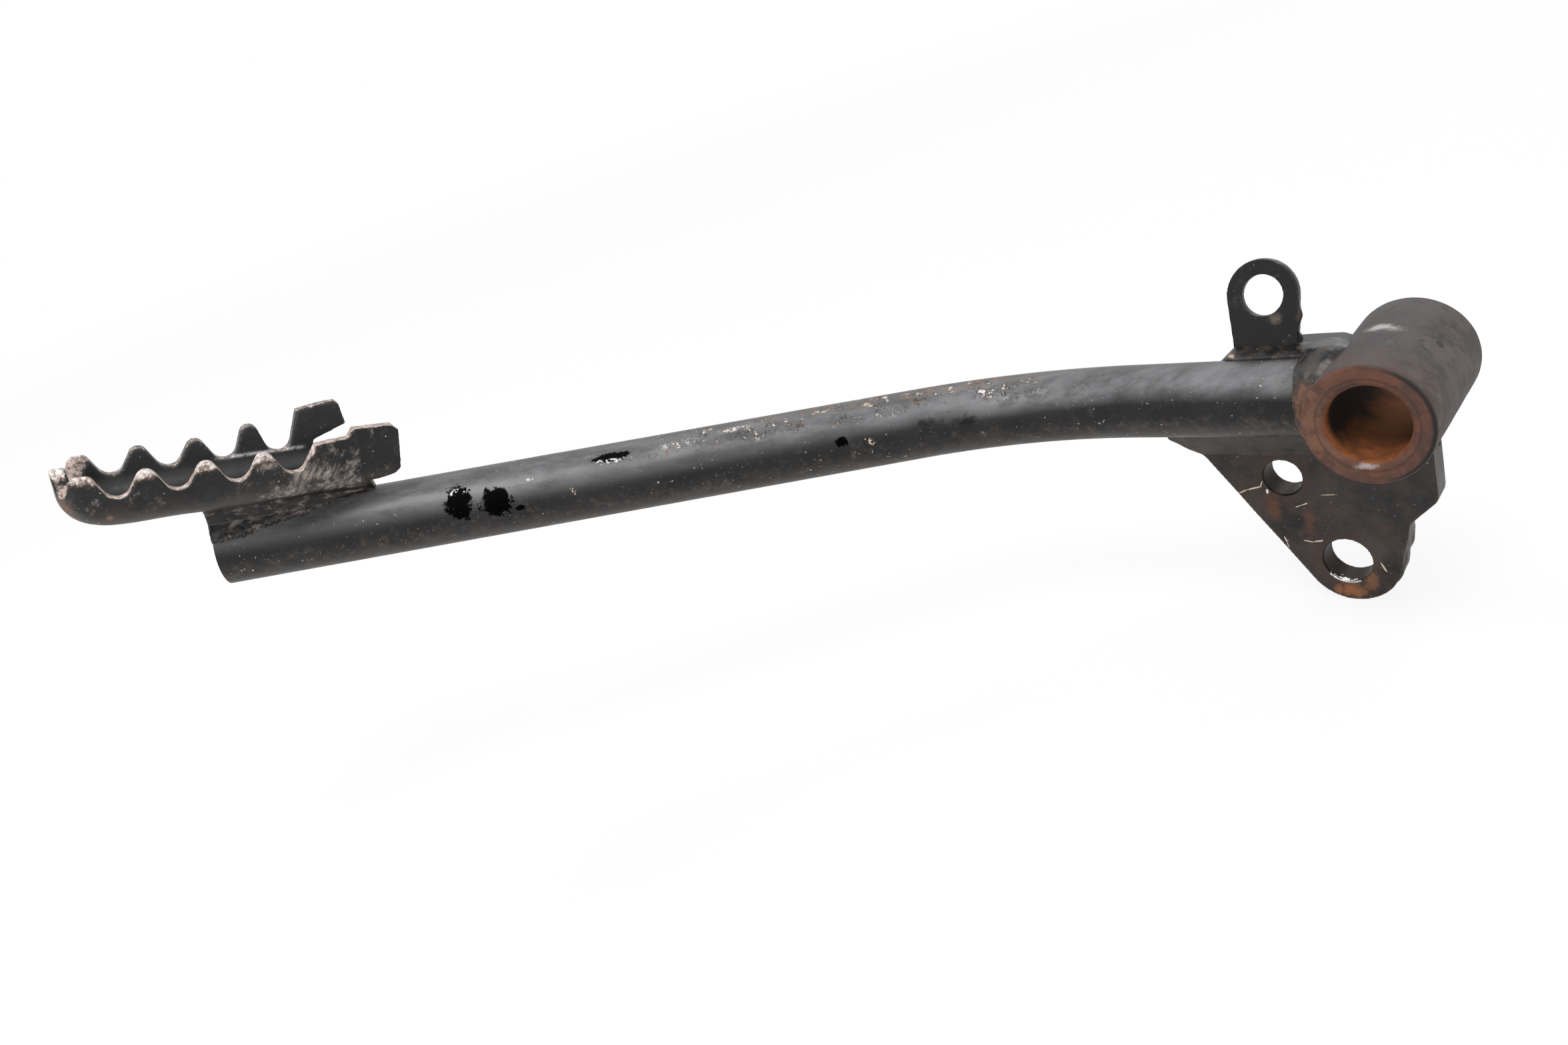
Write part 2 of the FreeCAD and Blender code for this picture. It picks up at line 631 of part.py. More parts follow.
def make_tread():
    body = new_body("tread_pad")
    press_tray(body)
    wide = "$floor_width"
    roof = f"$wall_height + {OVERCUT}"
    below = f"-{OVERCUT}"
    far_out = f"$near_flange_end + 4 * {OVERCUT}"
    ends = new_sketch(body, "skew_end", "XY_Plane", below)
    slope = "($near_flange_end - $far_flange_end) / $floor_width"
    middle = "($near_flange_end + $far_flange_end) / 2"
    add_chain(ends, [
        (f"{middle} + {slope} * {wide}", f"-{wide}"),
        (far_out, f"-{wide}"),
        (far_out, wide),
        (f"{middle} - {slope} * {wide}", wide),
    ])
    pocket(body, ends, f"$wall_height + 4 * {OVERCUT}", reverse=True)
    floor = new_sketch(body, "floor_end_cut", "XY_Plane", below)
    add_chain(floor, [
        (f"-$floor_end + $floor_skew * {wide}", f"-{wide}"),
        (far_out, f"-{wide}"),
        (far_out, wide),
        (f"-$floor_end - $floor_skew * {wide}", wide),
    ])
    pocket(body, floor, f"$near_slit_height + {OVERCUT}", reverse=True)
    bend = "$floor_width / 2 - $press_radius"
    through = new_sketch(body, "floor_end_through", "XY_Plane", below)
    add_chain(through, [
        (f"-$floor_end + $floor_skew * ({bend})", f"-({bend})"),
        (far_out, f"-({bend})"),
        (far_out, bend),
        (f"-$floor_end - $floor_skew * ({bend})", bend),
    ])
    pocket(body, through, f"$sheet_thickness + 2 * {OVERCUT}", reverse=True)

    near_ridge = [
        ("-$flange_front", "$near_top_front"),
        ("-$near_step_reach", "$near_step_height"),
        ("-$near_step_reach + $near_step_run", "$near_step_height + $near_step_rise"),
        ("$near_flange_end - $near_corner", "$near_top_rear"),
        ("$near_flange_end", "$near_top_rear - $near_corner"),
        (far_out, "$near_top_rear - $near_corner"),
        (far_out, roof),
    ]
    far_ridge = [
        ("-$flange_front", "$far_top_front"),
        ("-$far_crown_reach", "$far_crown_height"),
        ("0", "$far_top_rear"),
        ("$far_corner", "$far_top_rear - $far_corner"),
        ("$far_flange_end", "$far_slit_height + $far_slit_rise"),
        (far_out, "$far_slit_height + $far_slit_rise"),
        (far_out, roof),
    ]
    near_slit = [
        ("$near_slit_start", below),
        (far_out, below),
        (far_out, "$near_slit_height + $near_slit_rise + $near_corner"),
        ("$near_flange_end", "$near_slit_height + $near_slit_rise + $near_corner"),
        ("$near_flange_end - $near_corner", "$near_slit_height + $near_slit_rise"),
        ("$near_slit_start", "$near_slit_height"),
    ]
    far_slit = [
        ("-$far_slit_start", below),
        (far_out, below),
        (far_out, "$far_slit_height + $far_slit_rise"),
        ("$far_flange_end", "$far_slit_height + $far_slit_rise"),
        ("-$far_slit_start", "$far_slit_height"),
    ]
    side_pitch = f"($side_row / {SIDE_VALLEY_COUNT})"
    front_pitch = f"($front_row / {FRONT_VALLEY_COUNT})"
    for side, ridge, slit, start, rise, near in (
        ("near", near_ridge, near_slit, bend, "0", True),
        ("far", far_ridge, far_slit, f"-({bend})", "$far_last_tip_rise", False),
    ):
        row = new_sketch(body, side + "_teeth", "XZ_Plane")
        tooth_outline(row, "-$side_first_tip", side_pitch, SIDE_VALLEY_COUNT,
                      f"{side_pitch} * $side_tip_share", f"{side_pitch} * $side_valley_share",
                      roof, ridge, rise)
        pocket(body, row, "$floor_width * 2", reverse=near)
        gap = new_sketch(body, side + "_slit", "XZ_Plane", start)
        add_chain(gap, slit)
        pocket(body, gap, wide, reverse=near)
    front_row = new_sketch(body, "front_teeth", "YZ_Plane", "-$nose_reach")
    tooth_outline(front_row, "-$front_row / 2", front_pitch, FRONT_VALLEY_COUNT,
                  f"{front_pitch} * $front_tip_share", f"{front_pitch} * $front_valley_share", roof)
    pocket(body, front_row, "$floor_width * 2")
    place(body, *TREAD_DATUM)
    doc.recompute()
    return body


# Weld beads

def make_arm_boss_weld():
    """A turned bead on the arm's root where it meets the boss, up to the plate's beads."""
    barrel = rod("weld_barrel", "$boss_diameter / 2", "$boss_length",
                 (("0", "-$boss_length / 2", "0"), ALONG_BORE))
    body = doc.addObject("PartDesign::Body", "weld_root_body")
    section = new_sketch(body, "weld_root_section", "XY_Plane")
    inner = "$tube_diameter / 2"
    within = "-$boss_diameter / 4"
    add_chain(section, [
        ("-$boss_diameter / 2 - $boss_weld_toe", inner),
        ("-$boss_diameter / 2", f"{inner} + $boss_weld_side"),
        (within, f"{inner} + $boss_weld_top"),
        (within, inner),
    ])
    doc.recompute()
    ring = body.newObject("PartDesign::Revolution", "weld_root_ring")
    ring.Profile = section
    ring.ReferenceAxis = (section, ["H_Axis"])
    place(body, (("0", "-$arm_setback", "0"), LEVEL))
    behind = doc.addObject("Part::Box", "weld_behind")
    bind(behind, Length="$root_run", Width="$boss_length", Height="$boss_diameter * 2")
    lips = "min($lower_bead_lip; $upper_bead_lip)"
    place(behind, (("-$root_run", f"-$arm_setback + {lips} - $weld_gap", "-$boss_diameter"), LEVEL))
    doc.recompute()
    return cut("weld_arm_boss", body, barrel, behind), barrel


def make_plate_weld(label, root, lip, toe, sign, start, tools):
    """A straight bead in the groove between the arm and the plate's face."""
    body = doc.addObject("PartDesign::Body", label + "_body")
    section = new_sketch(body, label + "_section", "YZ_Plane", f"-({start})")
    radius = "($tube_diameter / 2)"
    low = f"sqrt({radius} ^ 2 - ({root}) ^ 2)"
    high = f"sqrt({radius} ^ 2 - ({lip}) ^ 2)"
    inner = (f"-$arm_setback + {low}", f"{sign} * ({root})")
    outer = (f"-$arm_setback + ({lip})", f"{sign} * {high}")
    centre = ("-$arm_setback", "0")
    circle = Part.Circle(at(centre), FreeCAD.Vector(0, 0, 1), value(radius))
    sides = [math.atan2(value(p[1]), value(p[0]) + value("$arm_setback")) for p in (inner, outer)]
    curve = section.addGeometry(Part.ArcOfCircle(circle, min(sides), max(sides)))
    first, last = (1, 2) if sides[0] < sides[1] else (2, 1)
    pin(section, curve, 3, *centre)
    pin(section, curve, first, inner[0], inner[1])
    dimension(section, "DistanceX", (-1, 1, curve, last), outer[0])
    chain = [inner, (PLATE_FRONT, inner[1]), (PLATE_FRONT, f"{sign} * ({toe})"), outer]
    lines = [section.addGeometry(Part.LineSegment(at(a), at(b))) for a, b in zip(chain, chain[1:])]
    for line, after in zip(lines, lines[1:]):
        section.addConstraint(Sketcher.Constraint("Coincident", line, 2, after, 1))
        pin(section, after, 1, *chain[lines.index(after)])
    section.addConstraint(Sketcher.Constraint("Coincident", lines[0], 1, curve, first))
    section.addConstraint(Sketcher.Constraint("Coincident", lines[-1], 2, curve, last))
    pad(body, section, start)
    return cut(label, body, *tools)


def make_ring_weld(label, along, turn, begin, sweep, tools):
    """A bead in the corner between the boss and a face of the plate, part of the way round."""
    ring = doc.addObject("Part::Cone", label + "_ring")
    bind(ring, Radius1="$boss_diameter / 2 + $plate_weld", Radius2="$boss_diameter / 2",
         Height="$plate_weld")
    bind(ring, Angle=sweep)
    place(ring, (("0", along, "0"), turn), (("0", "0", "0"), f"rotation(vector(0; 0; 1); {begin})"))
    doc.recompute()
    return cut(label, ring, *tools)


def make_web(tools):
    """The web of weld between the arm and the tread: one section that shrinks along the arm."""
    body = doc.addObject("PartDesign::Body", "weld_tread_body")
    section = [
        ("-$web_toe_side", "$web_toe_rise"),
        ("-$web_waist_side", "$web_waist_rise"),
        ("-$web_neck_side", "$web_neck_rise"),
        ("-$web_lip_side", "$web_lip_rise"),
        ("-$web_back_lip_side", "$web_back_lip_rise"),
        ("$web_back_toe_side", "$web_back_toe_rise"),
    ]
    crown = "$tube_diameter / 2"

    def shrunk(share):
        """The section drawn in towards the arm's top line."""
        return [(f"({across}) * {share}", f"{crown} + ({up} - {crown}) * {share}") for across, up in section]

    sketches = []
    for name, along, chain in (
        ("web_front", "0", section),
        ("web_waist", "$web_middle", shrunk("$web_middle_taper")),
        ("web_rear", "$web_length", shrunk("$web_taper")),
    ):
        sketch = new_sketch(body, name, "YZ_Plane", along)
        add_chain(sketch, chain)
        sketches.append(sketch)
    doc.recompute()
    loft = body.newObject("PartDesign::AdditiveLoft", "web_loft")
    loft.Profile = sketches[0]
    loft.Sections = sketches[1:]
    loft.Ruled = True
    place(body, *ARM_END)
    doc.recompute()
    return cut("weld_tread", body, *tools)


def make_tab_weld():
    """The bead behind the tab's foot, a sector of a rod between the plate's top edge and the tab."""
    depth = PLATE_FRONT + " + $tab_thickness / cos($tab_lean)"
    bead = rod("weld_tab", "$tab_weld", "$tab_base_width",
               (("-$tab_reach + $tab_base_width / 2", depth, PLATE_TOP), ALONG_ARM),
               (("0", "0", "0"), "rotation(vector(0; 0; 1); $tab_lean)"))
    bind(bead, Angle="90 - $tab_lean")
    doc.recompute()
    return bead


boss = make_boss()
arm = make_arm()
plate = make_plate()
tab = make_tab()
tread = make_tread()

arm_boss_weld, barrel = make_arm_boss_weld()
past_tail = doc.addObject("Part::Box", "past_tail")
bind(past_tail, Length="2 * $tail_reach", Width="2 * $boss_length", Height="$tail_reach")
place(past_tail,
      (("-$knee_reach", "-$boss_length", "-$knee_drop"),
       "rotation(vector(0; 1; 0); atan(($knee_drop - $tail_drop) / ($tail_reach - $knee_reach)))"),
      (("-$tail_reach", "0", "-$tail_reach"), LEVEL))
doc.recompute()
lower_weld = make_plate_weld("weld_arm_plate_lower", "$lower_bead_root", "$lower_bead_lip",
                             "$lower_bead_toe", -1, "$lower_bead_start", (barrel, past_tail))
upper_weld = make_plate_weld("weld_arm_plate_upper", "$upper_bead_root", "$upper_bead_lip",
                             PLATE_TOP, 1, "$plate_head_reach", (barrel,))
front_ring = make_ring_weld("weld_plate_boss_front", PLATE_FRONT, FACING_TREAD,
                            "$front_ring_begin_angle", "$front_ring_sweep_angle", (barrel, plate, lower_weld))
back_ring = make_ring_weld("weld_plate_boss_back", PLATE_FRONT + " + $plate_thickness", ALONG_BORE,
                           "$back_ring_begin_angle", "$back_ring_sweep_angle", (barrel, plate))
tab_weld = make_tab_weld()

arm_core = rod("arm_end_core", "$tube_diameter / 2", "$end_run",
               *ARM_END, (("0", "0", "0"), "rotation(vector(0; 1; 0); 90)"))
inside = doc.addObject("Part::Box", "tread_inside")
bind(inside, Length="$nose_reach + $floor_width", Width="$floor_width - $sheet_thickness",
     Height="$wall_height")
place(inside, *TREAD_DATUM, (("-$nose_reach", "-$floor_width / 2 + $sheet_thickness / 2",
                              "$sheet_thickness / 2"), LEVEL))
doc.recompute()
tread_weld = make_web((arm_core, tread, inside))

parts = [boss, arm, plate, tab, tread, arm_boss_weld, lower_weld, upper_weld, front_ring, back_ring,
         tab_weld, tread_weld]


# Check every object and write the parts

doc.recompute()
for item in doc.Objects:
    if "Invalid" in item.State or "Error" in item.State:
        raise RuntimeError(f"{item.Label} failed: {item.State}")
for part in parts:
    if part.Shape.isNull() or not part.Shape.isValid():
        raise RuntimeError(f"{part.Label} has no valid shape")

os.makedirs("parts", exist_ok=True)
for part in parts:
    part.Shape.exportStep(os.path.join("parts", part.Label + ".step"))
    print(f"{part.Label}: {len(part.Shape.Solids)} solid, {part.Shape.Volume:.0f} mm3")
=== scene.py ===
import json
import math

import bmesh
import bpy
from mathutils import Matrix, Vector, noise


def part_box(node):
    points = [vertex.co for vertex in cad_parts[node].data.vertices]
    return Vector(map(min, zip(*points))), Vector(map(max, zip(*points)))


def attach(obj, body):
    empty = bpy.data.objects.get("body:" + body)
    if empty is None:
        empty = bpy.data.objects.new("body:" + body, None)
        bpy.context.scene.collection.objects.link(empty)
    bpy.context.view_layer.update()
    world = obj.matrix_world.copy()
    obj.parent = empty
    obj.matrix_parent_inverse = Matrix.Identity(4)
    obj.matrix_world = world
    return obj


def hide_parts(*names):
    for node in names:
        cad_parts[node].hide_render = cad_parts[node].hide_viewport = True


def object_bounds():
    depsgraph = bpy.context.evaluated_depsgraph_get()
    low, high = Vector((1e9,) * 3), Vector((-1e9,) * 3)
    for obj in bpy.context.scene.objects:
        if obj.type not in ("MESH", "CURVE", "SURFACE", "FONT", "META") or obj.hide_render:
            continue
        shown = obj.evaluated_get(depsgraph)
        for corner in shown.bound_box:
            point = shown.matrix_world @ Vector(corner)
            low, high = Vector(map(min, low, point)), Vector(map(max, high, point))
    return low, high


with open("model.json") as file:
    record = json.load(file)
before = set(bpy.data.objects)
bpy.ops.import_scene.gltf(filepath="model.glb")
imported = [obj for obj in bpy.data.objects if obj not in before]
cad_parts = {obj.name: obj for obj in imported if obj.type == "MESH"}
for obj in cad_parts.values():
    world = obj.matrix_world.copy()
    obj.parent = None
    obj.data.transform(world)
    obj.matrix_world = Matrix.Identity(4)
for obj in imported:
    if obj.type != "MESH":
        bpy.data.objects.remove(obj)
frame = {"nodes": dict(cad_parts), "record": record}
CAD_BOX = [list(corner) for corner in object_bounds()]
MM = 0.001


# Places on the part, in millimetres; the arm's and the tread's follow the part's source

BOSS_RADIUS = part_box("pivot_boss")[1][0] / MM
BOSS_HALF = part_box("pivot_boss")[1][1] / MM
MOUNTS = {mount["name"]: mount for mount in frame["record"]["mounts"]}
BORE_RADIUS = MOUNTS["pivot_bore"]["dims"]["r_mm"]
ROD_HOLE = [c / MM for c in MOUNTS["rod_hole"]["pos_m"]]
ROD_HOLE_RADIUS = MOUNTS["rod_hole"]["dims"]["r_mm"]
SPRING_HOLE = [c / MM for c in MOUNTS["plate_spring_hole"]["pos_m"]]
SPRING_HOLE_RADIUS = MOUNTS["plate_spring_hole"]["dims"]["r_mm"]
PLATE_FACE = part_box("lever_plate")[0][1] / MM
TUBE_RADIUS = 7.15
ARM_SETBACK = 2.77
ROOT_RUN = 47.6
BEND_RADIUS = 55.5
BEND_ANGLE = math.radians(45.5)
BEND_TILT = math.radians(11.94)
END_RUN = 142.3
TREAD_SETBACK = 26.26
TREAD_TURN = [math.radians(angle) for angle in (22.17, 4.78, 8.0)]
TREAD_LIFT = TUBE_RADIUS + 1.75
TIP_HEIGHT = 10.7
FLANGE_FRONT = -8.5
NOSE_CENTRE = -40.5
TAB_BURR = (-16.1, 6.0, 12.4)


def shift(x, y, z):
    return Matrix.Translation((x, y, z))


def turn(angle, axis):
    return Matrix.Rotation(angle, 4, axis)


ARM_END = (shift(0, -ARM_SETBACK, 0) @ turn(-BEND_TILT, "X")
           @ shift(-ROOT_RUN - BEND_RADIUS * math.sin(BEND_ANGLE),
                   -BEND_RADIUS * (1 - math.cos(BEND_ANGLE)), 0)
           @ turn(BEND_ANGLE, "Z") @ shift(-END_RUN, 0, 0))
TREAD = (ARM_END @ shift(TREAD_SETBACK, 0, 0) @ turn(TREAD_TURN[0], "Z") @ turn(TREAD_TURN[1], "Y")
         @ turn(TREAD_TURN[2], "X") @ shift(0, 0, TREAD_LIFT))
ARM_AXIS = ARM_END.to_3x3() @ Vector((1, 0, 0))


# Camera, light and floor

CAMERA_PLACE = (0.07139, -0.23096, 0.10105)
CAMERA_RIGHT = (0.7664, 0.5764, -0.2835)
CAMERA_UP = (-0.0333, 0.4764, 0.8786)
CAMERA_BACK = (0.6415, -0.6640, 0.3843)
FOCAL_SHARE = 2029.75 / 2352.0
SENSOR = 36.0
NEAREST_SEEN = 0.01
MIDDLE = (-0.09, -0.06, 0.0)
WORLD_LIGHT = 0.3
FLOOR_SIZE = 12
FLOOR_GREY = 0.82
FLOOR_GLOW = (0.88, 1.0)
FLOOR_REACH = (0.25, 1.3)
LAMPS = (
    # name, place in metres, width in metres, watts
    ("key", (0.10, -0.38, 0.85), 0.4, 6.6),
    ("side", (-0.72, -0.15, 0.72), 0.4, 3.2),
    ("fill", (0.38, -0.75, 0.32), 0.6, 2.4),
    ("rim", (-0.05, 0.7, 0.55), 0.5, 2.2),
)


def add_camera():
    camera = bpy.data.objects.new("camera", bpy.data.cameras.new("camera"))
    facing = Matrix((CAMERA_RIGHT, CAMERA_UP, CAMERA_BACK)).transposed().to_4x4()
    camera.matrix_world = Matrix.Translation(CAMERA_PLACE) @ facing
    camera.data.sensor_width = SENSOR
    camera.data.lens = SENSOR * FOCAL_SHARE
    camera.data.clip_start = NEAREST_SEEN
    bpy.context.scene.collection.objects.link(camera)
    bpy.context.scene.camera = camera


def add_area(name, place, size, energy):
    light = bpy.data.lights.new(name, "AREA")
    light.shape = "SQUARE"
    light.size = size
    light.energy = energy
    lamp = bpy.data.objects.new(name, light)
    lamp.location = place
    lamp.rotation_euler = (Vector(MIDDLE) - Vector(place)).to_track_quat("-Z", "Y").to_euler()
    bpy.context.scene.collection.objects.link(lamp)


def seen_directly(tree):
    """1 on rays from the camera, in reflections and through glass, 0 on rays that light things."""
    path = tree.nodes.new("ShaderNodeLightPath")
    result = path.outputs["Is Camera Ray"]
    for kind in ("Is Glossy Ray", "Is Transmission Ray"):
        either = tree.nodes.new("ShaderNodeMath")
        either.operation = "MAXIMUM"
        tree.links.new(result, either.inputs[0])
        tree.links.new(path.outputs[kind], either.inputs[1])
        result = either.outputs[0]
    return result


def spread(tree, value, to_min, to_max, from_min=0.0, from_max=1.0):
    """A value brought from one range to another in a straight line."""
    node = tree.nodes.new("ShaderNodeMapRange")
    node.inputs["From Min"].default_value = from_min
    node.inputs["From Max"].default_value = from_max
    node.inputs["To Min"].default_value = to_min
    node.inputs["To Max"].default_value = to_max
    tree.links.new(value, node.inputs["Value"])
    return node.outputs[0]


def add_world(light):
    world = bpy.data.worlds.new("studio")
    bpy.context.scene.world = world
    world.use_nodes = True
    tree = world.node_tree
    sky = tree.nodes["Background"]
    sky.inputs["Color"].default_value = (1, 1, 1, 1)
    tree.links.new(spread(tree, seen_directly(tree), light, 1.0), sky.inputs["Strength"])


def add_floor():
    """A pale floor under the part that keeps its shadow and goes over into the white background."""
    bpy.ops.mesh.primitive_plane_add(size=FLOOR_SIZE, location=(MIDDLE[0], MIDDLE[1], CAD_BOX[0][2]))
    floor = bpy.context.object
    floor.name = "floor"
    material = bpy.data.materials.new("floor")
    material.use_nodes = True
    tree = material.node_tree
    matt = tree.nodes["Principled BSDF"]
    matt.inputs["Base Color"].default_value = (FLOOR_GREY, FLOOR_GREY, FLOOR_GREY, 1)
    matt.inputs["Roughness"].default_value = 0.9
    glow = tree.nodes.new("ShaderNodeEmission")
    reach = tree.nodes.new("ShaderNodeVectorMath")
    reach.operation = "LENGTH"
    tree.links.new(tree.nodes.new("ShaderNodeTexCoord").outputs["Object"], reach.inputs[0])
    share = tree.nodes.new("ShaderNodeMath")
    share.operation = "MULTIPLY"
    tree.links.new(seen_directly(tree), share.inputs[0])
    tree.links.new(spread(tree, reach.outputs["Value"], *FLOOR_GLOW, *FLOOR_REACH), share.inputs[1])
    blend = tree.nodes.new("ShaderNodeMixShader")
    tree.links.new(share.outputs[0], blend.inputs[0])
    tree.links.new(matt.outputs[0], blend.inputs[1])
    tree.links.new(glow.outputs[0], blend.inputs[2])
    tree.links.new(blend.outputs[0], tree.nodes["Material Output"].inputs["Surface"])
    floor.data.materials.append(material)


bpy.context.scene.view_settings.view_transform = "Standard"
add_camera()
add_world(WORLD_LIGHT)
add_floor()
for lamp in LAMPS:
    add_area(*lamp)


# Shader nodes

BUMP_STRENGTH = 0.6


class Finish:
    """A material built up in layers; a number or colour stands for itself, a socket is linked."""

    def __init__(self, name, colour, rough, shine=0.5):
        self.material = bpy.data.materials.new(name)
        self.material.use_nodes = True
        self.tree = self.material.node_tree
        self.shader = self.tree.nodes["Principled BSDF"]
        self.shader.inputs["Specular IOR Level"].default_value = shine
        self.place = self.tree.nodes.new("ShaderNodeTexCoord").outputs["Object"]
        self.normal = self.tree.nodes.new("ShaderNodeNewGeometry").outputs["Normal"]
        self.colour = colour
        self.rough = rough
        self.height = 0.0
        self.metal = 0.0

    def put(self, socket, value):
        if isinstance(value, bpy.types.NodeSocket):
            self.tree.links.new(value, socket)
        elif isinstance(value, tuple) and len(value) == 3 and socket.type == "RGBA":
            socket.default_value = (*value, 1)
        else:
            socket.default_value = value

    def math(self, operation, a, b=0.0):
        node = self.tree.nodes.new("ShaderNodeMath")
        node.operation = operation
        self.put(node.inputs[0], a)
        self.put(node.inputs[1], b)
        return node.outputs[0]

    def times(self, *values):
        result = values[0]
        for value in values[1:]:
            result = self.math("MULTIPLY", result, value)
        return result

    def most(self, *values):
        result = values[0]
        for value in values[1:]:
            result = self.math("MAXIMUM", result, value)
        return result

    def step(self, value, low, high):
        """0 below low, 1 above high, smooth between; falls where low is above high."""
        node = self.tree.nodes.new("ShaderNodeMapRange")
        node.interpolation_type = "SMOOTHSTEP"
        node.inputs["From Min"].default_value = min(low, high)
        node.inputs["From Max"].default_value = max(low, high)
        node.inputs["To Min"].default_value = 0.0 if low < high else 1.0
        node.inputs["To Max"].default_value = 1.0 if low < high else 0.0
        self.put(node.inputs["Value"], value)
        return node.outputs[0]

    def span(self, value, low, high):
        """A factor of 0 to 1 spread from low to high."""
        return spread(self.tree, value, low, high)

    def moved(self, offset=0.0, stretch=(1, 1, 1), along=None):
        """The place, shifted for a pattern of its own and drawn out along a direction."""
        node = self.tree.nodes.new("ShaderNodeMapping")
        node.inputs["Location"].default_value = (offset * MM, offset * 0.7 * MM, -offset * 1.3 * MM)
        if along is not None:
            node.vector_type = "TEXTURE"
            node.inputs["Rotation"].default_value = Vector(along).to_track_quat("X", "Z").to_euler()
        node.inputs["Scale"].default_value = stretch
        self.put(node.inputs["Vector"], self.place)
        return node.outputs[0]

    def noise(self, size_mm, detail=4.0, rough=0.55, offset=0.0, stretch=(1, 1, 1), along=None):
        """Cloudy noise with features of about the given size."""
        node = self.tree.nodes.new("ShaderNodeTexNoise")
        node.inputs["Scale"].default_value = 1.0 / (size_mm * MM)
        node.inputs["Detail"].default_value = detail
        node.inputs["Roughness"].default_value = rough
        self.put(node.inputs["Vector"], self.moved(offset, stretch, along))
        return node.outputs["Fac"]

    def mix(self, factor, a, b):
        """One colour at factor 0, another at 1."""
        node = self.tree.nodes.new("ShaderNodeMix")
        node.data_type = "RGBA"
        for index, value in ((0, factor), (6, a), (7, b)):
            self.put(node.inputs[index], value)
        return node.outputs[2]

    def blend(self, factor, a, b):
        """One number at factor 0, another at 1."""
        node = self.tree.nodes.new("ShaderNodeMix")
        for index, value in ((0, factor), (2, a), (3, b)):
            self.put(node.inputs[index], value)
        return node.outputs[0]

    def reach(self, centre_mm, radii_mm, along):
        """0 at a place, 1 on an ellipsoid round it, more outside."""
        move = self.tree.nodes.new("ShaderNodeMapping")
        move.vector_type = "TEXTURE"
        move.inputs["Location"].default_value = [c * MM for c in centre_mm]
        move.inputs["Rotation"].default_value = Vector(along).to_track_quat("X", "Z").to_euler()
        move.inputs["Scale"].default_value = [r * MM for r in radii_mm]
        self.put(move.inputs["Vector"], self.place)
        return self.length(move.outputs[0])

    def spots(self, ragged, along, soft, places):
        """1 inside any of several ellipsoids that share one ragged rim, fading to 0 there."""
        nearest = self.reach(*places[0], along)
        for centre, radii in places[1:]:
            nearest = self.math("MINIMUM", nearest, self.reach(centre, radii, along))
        return self.step(self.math("ADD", nearest, ragged), 1.0, 1.0 - soft)

    def spot(self, centre_mm, radii_mm, along=(1, 0, 0), wobble=0.4, wobble_mm=2.0, soft=0.25):
        """1 inside one ragged ellipsoid, fading to 0 at its rim."""
        ragged = self.span(self.noise(wobble_mm, 5.0, 0.65, centre_mm[0]), -wobble, wobble)
        return self.spots(ragged, along, soft, ((centre_mm, radii_mm),))

    def line(self, start_mm, end_mm, width_mm, wobble=0.5):
        """A scratch from one place to another."""
        start, end = Vector(start_mm), Vector(end_mm)
        half = (end - start).length / 2
        return self.spot((start + end) / 2, (half, width_mm, width_mm), end - start, wobble, 0.8)

    def length(self, vector):
        node = self.tree.nodes.new("ShaderNodeVectorMath")
        node.operation = "LENGTH"
        self.put(node.inputs[0], vector)
        return node.outputs["Value"]

    def axis(self, socket, which):
        node = self.tree.nodes.new("ShaderNodeSeparateXYZ")
        self.put(node.inputs[0], socket)
        return node.outputs[which]

    def from_bore(self, centre_mm):
        """Distance in millimetres from a line along Y through a place."""
        node = self.tree.nodes.new("ShaderNodeMapping")
        node.inputs["Location"].default_value = (-centre_mm[0], 0, -centre_mm[2])
        node.inputs["Scale"].default_value = (1 / MM, 0, 1 / MM)
        self.put(node.inputs["Vector"], self.place)
        return self.length(node.outputs[0])

    def facing(self, direction):
        """1 where the surface looks in a direction, 0 square to it."""
        node = self.tree.nodes.new("ShaderNodeVectorMath")
        node.operation = "DOT_PRODUCT"
        self.put(node.inputs[0], self.normal)
        node.inputs[1].default_value = Vector(direction).normalized()
        return node.outputs["Value"]

    def attribute(self, name):
        node = self.tree.nodes.new("ShaderNodeAttribute")
        node.attribute_name = name
        return node.outputs["Fac"]

    def cover(self, mask, colour=None, rough=None, lift=None, metal=None):
        """Lay one more layer over what is there."""
        if colour is not None:
            self.colour = self.mix(mask, self.colour, colour)
        if rough is not None:
            self.rough = self.blend(mask, self.rough, rough)
        if lift is not None:
            self.height = self.math("ADD", self.height, self.times(mask, lift))
        if metal is not None:
            self.metal = self.blend(mask, self.metal, metal)

    def done(self, bump_mm=0.2):
        bump = self.tree.nodes.new("ShaderNodeBump")
        bump.inputs["Strength"].default_value = BUMP_STRENGTH
        bump.inputs["Distance"].default_value = bump_mm * MM
        self.put(bump.inputs["Height"], self.height)
        for name, value in (("Base Color", self.colour), ("Roughness", self.rough),
                            ("Metallic", self.metal), ("Normal", bump.outputs[0])):
            self.put(self.shader.inputs[name], value)
        return self.material


# Materials

BLACK = (0.0035, 0.0035, 0.004)
HAZE = (0.010, 0.010, 0.011)
DUST = (0.085, 0.067, 0.053)
PRIMER = (0.62, 0.57, 0.53)
BARE = (0.72, 0.655, 0.62)
ORANGE = (0.33, 0.145, 0.06)
RUST = (0.115, 0.047, 0.03)
DARK_RUST = (0.055, 0.031, 0.024)
CREAM = (0.62, 0.50, 0.36)
